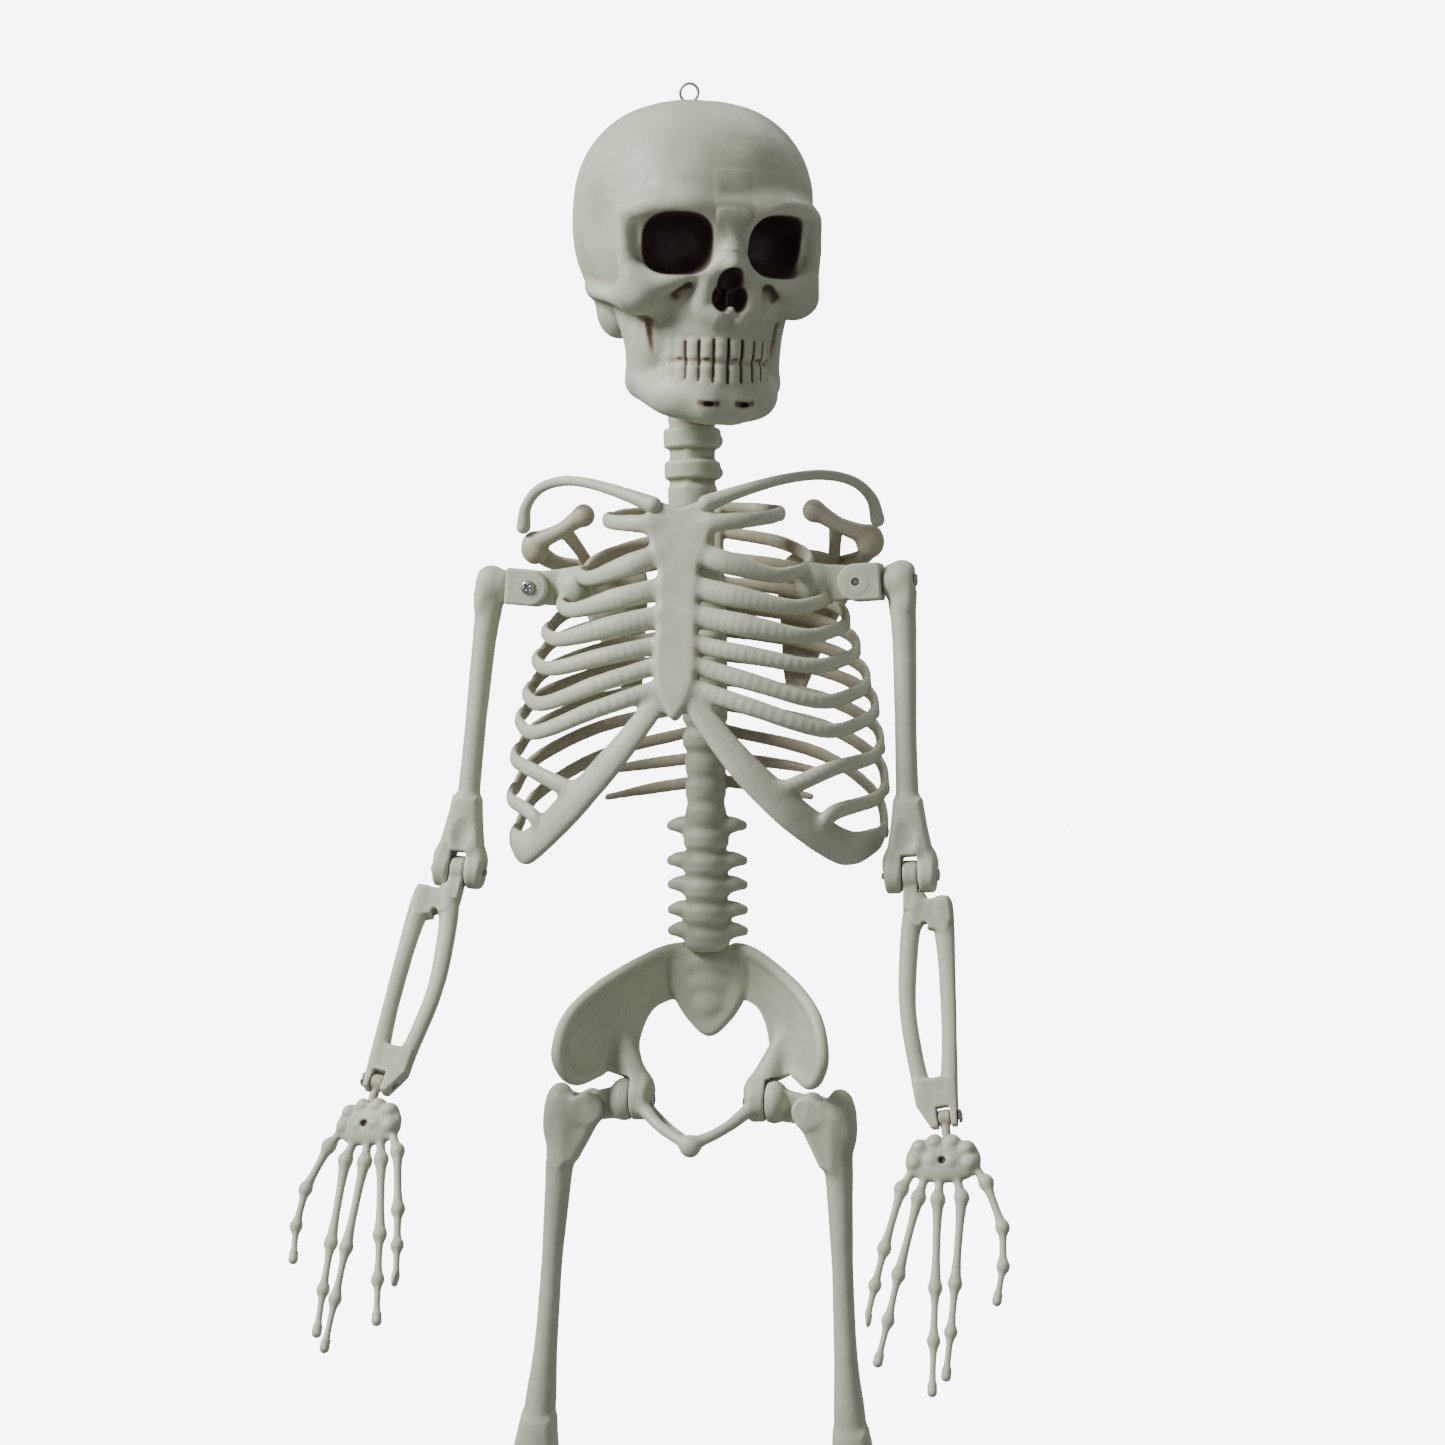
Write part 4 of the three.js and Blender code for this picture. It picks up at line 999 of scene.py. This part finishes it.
class Finish:
    """A node material and short ways to add to it."""

    def __init__(self, name):
        self.material = bpy.data.materials.new(name)
        self.material.use_nodes = True
        self.tree = self.material.node_tree
        self.shader = self.tree.nodes["Principled BSDF"]
        self.place = self.node("ShaderNodeTexCoord").outputs["Object"]

    def node(self, kind, **values):
        made = self.tree.nodes.new(kind)
        for name, value in values.items():
            setattr(made, name, value)
        return made

    def link(self, source, target):
        self.tree.links.new(source, target)

    def noise(self, scale, detail=4.0, rough=0.55):
        """Noise from 0 to 1, with `scale` features in a metre."""
        made = self.node("ShaderNodeTexNoise")
        socket(made, "Scale", scale)
        socket(made, "Detail", detail)
        socket(made, "Roughness", rough)
        self.link(self.place, made.inputs["Vector"])
        return made.outputs["Fac"]

    def ramp(self, source, *stops):
        """A colour from a value, by two stops of (value, colour)."""
        made = self.node("ShaderNodeValToRGB")
        for element, (place, colour) in zip(made.color_ramp.elements, stops):
            element.position = place
            element.color = (*colour, 1)
        self.link(source, made.inputs["Fac"])
        return made.outputs["Color"]

    def grade(self, source, low, high, to_low=0.0, to_high=1.0):
        """The value stretched from low..high to to_low..to_high."""
        made = self.node("ShaderNodeMapRange")
        for name, value in zip(("From Min", "From Max", "To Min", "To Max"), (low, high, to_low, to_high)):
            socket(made, name, value)
        self.link(source, made.inputs["Value"])
        return made.outputs["Result"]

    def multiply(self, a, b):
        made = self.node("ShaderNodeMath", operation="MULTIPLY")
        self.link(a, made.inputs[0])
        if isinstance(b, float):
            made.inputs[1].default_value = b
        else:
            self.link(b, made.inputs[1])
        return made.outputs[0]

    def mix(self, amount, a, b):
        made = self.node("ShaderNodeMix", data_type="RGBA")
        self.link(amount, made.inputs[0])
        for value, slot in ((a, made.inputs[6]), (b, made.inputs[7])):
            if isinstance(value, tuple):
                slot.default_value = (*value, 1)
            else:
                self.link(value, slot)
        return made.outputs[2]

    def bump(self, height, distance, strength, under=None):
        made = self.node("ShaderNodeBump")
        socket(made, "Strength", strength)
        socket(made, "Distance", distance)
        self.link(height, made.inputs["Height"])
        if under is not None:
            self.link(under, made.inputs["Normal"])
        return made.outputs["Normal"]


# Colours of painted shade: in the hollows, and lighter and near black in grooves, slots, pits and on the inner
# sides of the ribs.
HOLLOW_SHADE_BROWN, PAINTED_SHADE_BROWN, PAINTED_SHADE_DARK = (0.19, 0.135, 0.075), (0.33, 0.245, 0.16), (0.052, 0.040, 0.030)
SOCKET_DARK, SOCKET_PALE = (0.055, 0.032, 0.032), (0.105, 0.066, 0.06)


def bone_finish(name, pale, deep, hollow_shade, painted=True):
    """Moulded ivory plastic, mottled, with brownish painted shade in its hollows and paler painted highlights on
    its ridges.
    """
    f = Finish(name)
    broad = f.noise(38, 3)
    fine = f.noise(170, 5, 0.6)
    colour = f.mix(f.grade(broad, 0.35, 0.68), pale, deep)
    colour = f.mix(f.grade(fine, 0.42, 0.72, 0, 0.3), colour, tuple(0.86 * c for c in deep))
    if painted:
        paint = f.node("ShaderNodeAttribute", attribute_name="paint", attribute_type="GEOMETRY")
        parts = f.node("ShaderNodeSeparateColor")
        f.link(paint.outputs["Color"], parts.inputs["Color"])
        hollow, dark, painted_shade = (parts.outputs[k] for k in range(3))
        # painted shade: brownish and patchy in the hollows
        patchy_hollow_shade = f.multiply(f.grade(hollow, 0.53, 0.72), f.grade(broad, 0.3, 0.6, 0.55, 1))
        colour = f.mix(f.multiply(patchy_hollow_shade, hollow_shade), colour, HOLLOW_SHADE_BROWN)
        # painted highlight: paler on the raised ridges
        ridge_highlight = f.grade(hollow, 0.46, 0.36, 0, 0.35)
        colour = f.mix(ridge_highlight, colour, tuple(min(1.0, 1.16 * c) for c in pale))
        # painted shade, from lighter to near black, in grooves, slots, pits and on the inner sides of the ribs
        colour = f.mix(f.grade(painted_shade, 0, 0.4, 0, 0.55), colour, PAINTED_SHADE_BROWN)
        colour = f.mix(f.grade(painted_shade, 0.38, 0.8, 0, 0.92), colour, PAINTED_SHADE_DARK)
        colour = f.mix(dark, colour, f.mix(fine, SOCKET_DARK, SOCKET_PALE))
    f.link(colour, f.shader.inputs["Base Color"])
    f.link(f.grade(fine, 0.3, 0.75, 0.42, 0.6), f.shader.inputs["Roughness"])
    grain = f.bump(f.noise(900, 3), 0.00008, 0.5)
    f.link(f.bump(fine, 0.00022, 0.6, grain), f.shader.inputs["Normal"])
    socket(f.shader, "Specular IOR Level", 0.42)
    socket(f.shader, "Subsurface Weight", 0.06)
    socket(f.shader, "Subsurface Radius", (0.0018, 0.0014, 0.0009))
    return f.material


def steel_finish():
    """Plated steel, faintly blotched and dulled."""
    f = Finish("plated_steel")
    blotch = f.noise(420, 4)
    colour = f.ramp(blotch, (0.3, (0.30, 0.295, 0.28)), (0.7, (0.50, 0.50, 0.485)))
    f.link(colour, f.shader.inputs["Base Color"])
    f.link(f.grade(f.noise(1500, 3), 0.3, 0.7, 0.26, 0.46), f.shader.inputs["Roughness"])
    f.link(f.bump(f.noise(2600, 2), 0.00003, 0.6), f.shader.inputs["Normal"])
    socket(f.shader, "Metallic", 1.0)
    return f.material


BONE = bone_finish("bone_plastic_painted", (0.51, 0.535, 0.415), (0.425, 0.45, 0.34), 0.6)
# A darker, tan copy of the bone plastic: painted shade, for the shoulder blades in shadow behind the ribs and for
# the wrist stalks.
BONE_SHADED = bone_finish("bone_plastic_shaded_copy", (0.46, 0.44, 0.34), (0.37, 0.33, 0.24), 0.8)
BONE_PLAIN = bone_finish("bone_plastic_inner", (0.38, 0.39, 0.30), (0.31, 0.31, 0.23), 0.0, painted=False)
STEEL = steel_finish()


# ---- putting the figure together


def move(*offset):
    return Matrix.Translation(offset)


def turn(axis, degrees):
    return Matrix.Rotation(math.radians(degrees), 4, Vector(axis))


def place(name, sculpt, matrix, body, nodes, slot="bone_plastic", material=BONE, mirror=False):
    """Make a piece from a sculpt, put it in the row frame, tie it to its body, and hide the CAD nodes that it
    replaces.
    """
    points, quads = sculpt.points, sculpt.quads
    if mirror:
        points, quads = points * (-1, 1, 1), quads[:, ::-1]
    world = np.array(matrix)
    points = (points @ world[:3, :3].T + world[:3, 3]) * MM
    mesh = bpy.data.meshes.new(name)
    mesh.vertices.add(len(points))
    mesh.vertices.foreach_set("co", points.astype(np.float32).ravel())
    mesh.loops.add(quads.size)
    mesh.loops.foreach_set("vertex_index", quads.astype(np.int32).ravel())
    mesh.polygons.add(len(quads))
    mesh.polygons.foreach_set("loop_start", np.arange(0, quads.size, 4, dtype=np.int32))
    mesh.polygons.foreach_set("use_smooth", np.ones(len(quads), bool))
    mesh.update(calc_edges=True)
    # paint channels: how hollow the surface is, the sockets' own dark paint, and painted shade
    paint = np.ones((len(points), 4), np.float32)
    paint[:, 0] = np.clip(0.5 + 0.5 * sculpt.hollow, 0, 1)
    paint[:, 1], paint[:, 2] = sculpt.dark, sculpt.painted_shade
    layer = mesh.color_attributes.new("paint", "FLOAT_COLOR", "POINT")
    layer.data.foreach_set("color", paint.ravel())
    mesh.materials.append(material)
    piece = bpy.data.objects.new(name, mesh)
    bpy.context.scene.collection.objects.link(piece)
    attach(piece, body)
    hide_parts(*nodes)


def along(start, way, matrix):
    """The matrix that lays a screw made along -Z from `start` towards `way`."""
    tilt = Vector((0, 0, -1)).rotation_difference(Vector(way)).to_matrix().to_4x4()
    return matrix @ Matrix.Translation(start) @ tilt


POSE = {
    "head": {"turn": 28, "nod": 7},
    "left": {"abduct": 2.3, "swing": 7, "elbow": 8, "bend": 12, "twist": 0, "splay": 3, "knee": 2},
    "right": {"abduct": 5, "swing": 8, "elbow": 24, "bend": -6, "twist": 18, "splay": 6, "knee": 2},
}
FORWARD, BACKWARD, UP = (-1, 0, 0), (1, 0, 0), (0, 0, 1)
SIDES = (("left", 1), ("right", -1))
HOME = move(0, 0, 0)
HEAD_LEVEL = -110.2  # where the skull's own frame hangs below the eyelet
SWING_OUT = 21  # from a shoulder or hip out to the limb that swings beside it
SCREWS = {}


def put_screw(node, body, start, end, matrix, mirror=False):
    """A screw with its head's top at start and its tip at end, in place of a CAD node."""
    start, end = Vector(start), Vector(end)
    if mirror:
        start.x, end.x = -start.x, -end.x
    length = round((end - start).length, 2)
    if length not in SCREWS:
        SCREWS[length] = screw(length)
    laid = along(start, (end - start).normalized(), matrix)
    place(node + "_detailed", SCREWS[length], laid, body, [node], "steel", STEEL)


def one_side(name, side, shapes):
    """Short ways to put the bones and the screws of one side in place."""

    def bone(part, node, matrix, body, *finish):
        nodes = [f"{name}_{node}"]
        place(f"{name}_{part}", shapes[node], matrix, f"{name}_{body}", nodes, *finish, mirror=side < 0)

    def bolt(node, body, start, end, matrix, mirror=side < 0):
        put_screw(f"{name}_{node}", f"{name}_{body}", start, end, matrix, mirror)

    return bone, bolt


def build_head():
    turned_head = move(0, 0, HEAD_LEVEL) @ turn(UP, POSE["head"]["turn"])
    nodded = turned_head @ turn((1, 0, 0), POSE["head"]["nod"])
    face, back = skull_halves()
    place("skull_face_sculpt", face, nodded, "skull", ["skull_face"])
    place("skull_back_sculpt", back, nodded, "skull", ["skull_back"])
    place("eyelet_wire", eyelet(), HOME, "skull", ["hanging_eyelet"], "steel", STEEL)
    place("eyelet_hex_nut", eyelet_nut(), HOME, "skull", ["eyelet_nut"], "steel", STEEL)
    place("neck_vertebrae", neck(), HOME, "neck", ["neck_column"])


def build_torso():
    place("ribs_and_sternum", rib_cage_front(), HOME, "torso", ["rib_cage_front"])
    place("ribs_at_the_back", rib_cage_back(), HOME, "torso", ["rib_cage_back"])
    place("vertebral_column", spine(), HOME, "torso", ["spine"])
    place("pelvic_girdle", pelvis(), HOME, "torso", ["pelvis"])
    blade, collar = scapula(), clavicle()
    # the shoulder blades take the darker copy of the bone plastic, as painted shade
    dark = ("bone_plastic_dark", BONE_SHADED)
    for name, side in SIDES:
        mirror = side < 0
        place(name + "_shoulder_blade", blade, HOME, "torso", [name + "_scapula"], *dark, mirror)
        place(name + "_collar_bone", collar, HOME, "torso", [name + "_clavicle"], mirror=mirror)
        put_screw(name + "_hip_bolt", "torso", (21.9, HIP_Y, HIP_Z), (43, HIP_Y, HIP_Z), HOME, mirror)
    put_screw("neck_pin", "torso", (11.6, 0, NECK_HINGE), (-9.5, 0, NECK_HINGE), HOME)
    upper, lower = CAGE_SCREWS
    for node, head_y, z in (
        ("rib_cage_screw_upper", 47.1, upper), ("rib_cage_screw_lower", 47.1, lower),
        ("pelvis_screw", 46.1, PELVIS_SCREW),
    ):
        put_screw(node, "torso", (0, head_y, z), (0, COLUMN_Y, z), HOME)


def build_arms():
    shapes = {make.__name__: make() for make in (shoulder_knuckle, humerus, forearm, wrist_link, hand)}
    for name, side in SIDES:
        p = POSE[name]
        outward = (0, -side, 0)
        shoulder = move(side * SHOULDER_X, 0, SHOULDER_Z) @ turn(outward, p["abduct"])
        upper = shoulder @ move(side * SWING_OUT, 0, 0) @ turn(FORWARD, p["swing"])
        lower = upper @ move(0, 0, -UPPER_ARM) @ turn(FORWARD, p["elbow"])
        carried = lower @ turn(outward, CARRY)
        wrist = carried @ move(0, 0, -LOWER_ARM) @ turn(FORWARD, p["bend"])
        palm = wrist @ turn(UP, side * p["twist"])
        bone, bolt = one_side(name, side, shapes)
        bone("shoulder_block", "shoulder_knuckle", shoulder, "shoulder")
        bone("upper_arm_bone", "humerus", upper, "upper_arm")
        bone("ulna_and_radius", "forearm", lower, "forearm")
        # the wrist stalk takes the darker copy of the bone plastic, as painted shade
        bone("wrist_stalk", "wrist_link", wrist, "wrist", "bone_plastic_dark", BONE_SHADED)
        bone("hand_bones", "hand", palm, "hand")
        # the pivot screw goes in from behind on the left and from the front on the right
        top = 9 + 0.3 + HEAD_LENGTH
        bolt("shoulder_pivot_screw", "shoulder", (0, side * top, 0), (0, -side * 8.5, 0), shoulder, False)
        bolt("shoulder_swing_screw", "shoulder", (29.1, 0, 0), (10, 0, 0), shoulder)
        bolt("elbow_bolt", "upper_arm", (14.1, 0, -UPPER_ARM), (-14, 0, -UPPER_ARM), upper)
        bolt("wrist_pin", "forearm", (8.5, 0, -LOWER_ARM), (-7.5, 0, -LOWER_ARM), carried)


def build_legs():
    shapes = {make.__name__: make() for make in (hip_knuckle, femur, shin, foot)}
    for name, side in SIDES:
        p = POSE[name]
        hip = move(side * HIP_X, HIP_Y, HIP_Z)
        thigh = hip @ move(side * SWING_OUT, 0, -4) @ turn((0, -side, 0), p["splay"])
        lower = thigh @ move(side * LEG_SHAFT, 0, -UPPER_LEG) @ turn(BACKWARD, p["knee"])
        ankle = lower @ move(0, 0, -LOWER_LEG)
        bone, bolt = one_side(name, side, shapes)
        bone("hip_ball", "hip_knuckle", hip, "hip")
        bone("thigh_bone", "femur", thigh, "thigh")
        bone("tibia_and_fibula", "shin", lower, "shin")
        bone("foot_bones", "foot", ankle, "foot")
        bolt("hip_spread_screw", "thigh", (0, 10.6, 0), (0, -6, 0), thigh)
        knee_start, knee_end = (LEG_SHAFT + 17.1, 0, -UPPER_LEG), (LEG_SHAFT - 16, 0, -UPPER_LEG)
        bolt("knee_bolt", "thigh", knee_start, knee_end, thigh)
        bolt("ankle_bolt", "shin", (13.1, 0, -LOWER_LEG), (-12, 0, -LOWER_LEG), lower)


build_head()
build_torso()
build_arms()
build_legs()
for node, material in (("neck_socket", BONE_PLAIN), ("neck_screw", STEEL)):
    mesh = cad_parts[node].data
    mesh.materials.clear()
    mesh.materials.append(material)


# ---- studio

LOOK_AT = Vector((0.0138, 0, -0.307))
DISTANCE, AZIMUTH, LENS = 1.35, math.radians(11), 69
ROLL = math.radians(-0.5)  # the figure hangs a little askew in the view


def studio():
    data = bpy.data.cameras.new("camera")
    data.lens, data.sensor_width = LENS, 36
    camera = bpy.data.objects.new("camera", data)
    camera.location = LOOK_AT + DISTANCE * Vector((math.sin(AZIMUTH), -math.cos(AZIMUTH), 0.01))
    level = (LOOK_AT - camera.location).to_track_quat("-Z", "Y").to_matrix()
    camera.rotation_euler = (level @ Matrix.Rotation(ROLL, 3, "Z")).to_euler()
    bpy.context.scene.collection.objects.link(camera)
    bpy.context.scene.camera = camera
    # a pale round floor that curves up into a wall all around the figure
    flat, bend, steps, sides, low, high = 5.0, 1.5, 12, 64, -1.0, 6.0
    profile = [(0.001, low), (flat, low)]
    for k in range(1, steps + 1):
        a = math.pi / 2 * k / steps
        profile.append((flat + bend * math.sin(a), low + bend * (1 - math.cos(a))))
    profile.append((flat + bend, high))
    mesh = bpy.data.meshes.new("backdrop")
    around = [2 * math.pi * k / sides for k in range(sides)]
    corners = [(r * math.cos(a), r * math.sin(a), z) for r, z in profile for a in around]
    faces = []
    for ring in range(0, (len(profile) - 1) * sides, sides):
        for k in range(sides):
            after = (k + 1) % sides
            faces.append((ring + k, ring + after, ring + sides + after, ring + sides + k))
    mesh.from_pydata(corners, [], faces)
    for face in mesh.polygons:
        face.use_smooth = True
    paper = Finish("paper")
    paper.link(paper.ramp(paper.noise(3), (0.3, (0.86, 0.86, 0.86)), (0.7, (0.9, 0.9, 0.9))),
               paper.shader.inputs["Base Color"])
    socket(paper.shader, "Roughness", 0.9)
    socket(paper.shader, "Emission Color", (1, 1, 1, 1))
    socket(paper.shader, "Emission Strength", 7.0)
    mesh.materials.append(paper.material)
    backdrop = bpy.data.objects.new("backdrop", mesh)
    bpy.context.scene.collection.objects.link(backdrop)
    # it glows white behind the figure, and neither lights it nor shades it
    backdrop.visible_diffuse = backdrop.visible_glossy = backdrop.visible_shadow = False
    world = bpy.data.worlds.new("studio")
    world.use_nodes = True
    socket(world.node_tree.nodes["Background"], "Color", (1, 1, 1, 1))
    socket(world.node_tree.nodes["Background"], "Strength", 0.26)
    bpy.context.scene.world = world
    for name, place_at, size, power, aim in (
        ("key", (-1.75, -1.2, 1.2), 0.9, 112, (0, 0, -0.25)),
        ("fill", (1.9, -1.6, 0.1), 1.6, 3, (0, 0, -0.35)),
        ("back", (0.6, 1.2, 1.6), 1.2, 22, (0, 2.2, -0.3)),
    ):
        lamp = bpy.data.lights.new(name, "AREA")
        lamp.size, lamp.energy = size, power
        light = bpy.data.objects.new(name, lamp)
        light.location = place_at
        light.rotation_euler = (Vector(aim) - Vector(place_at)).to_track_quat("-Z", "Y").to_euler()
        bpy.context.scene.collection.objects.link(light)


studio()
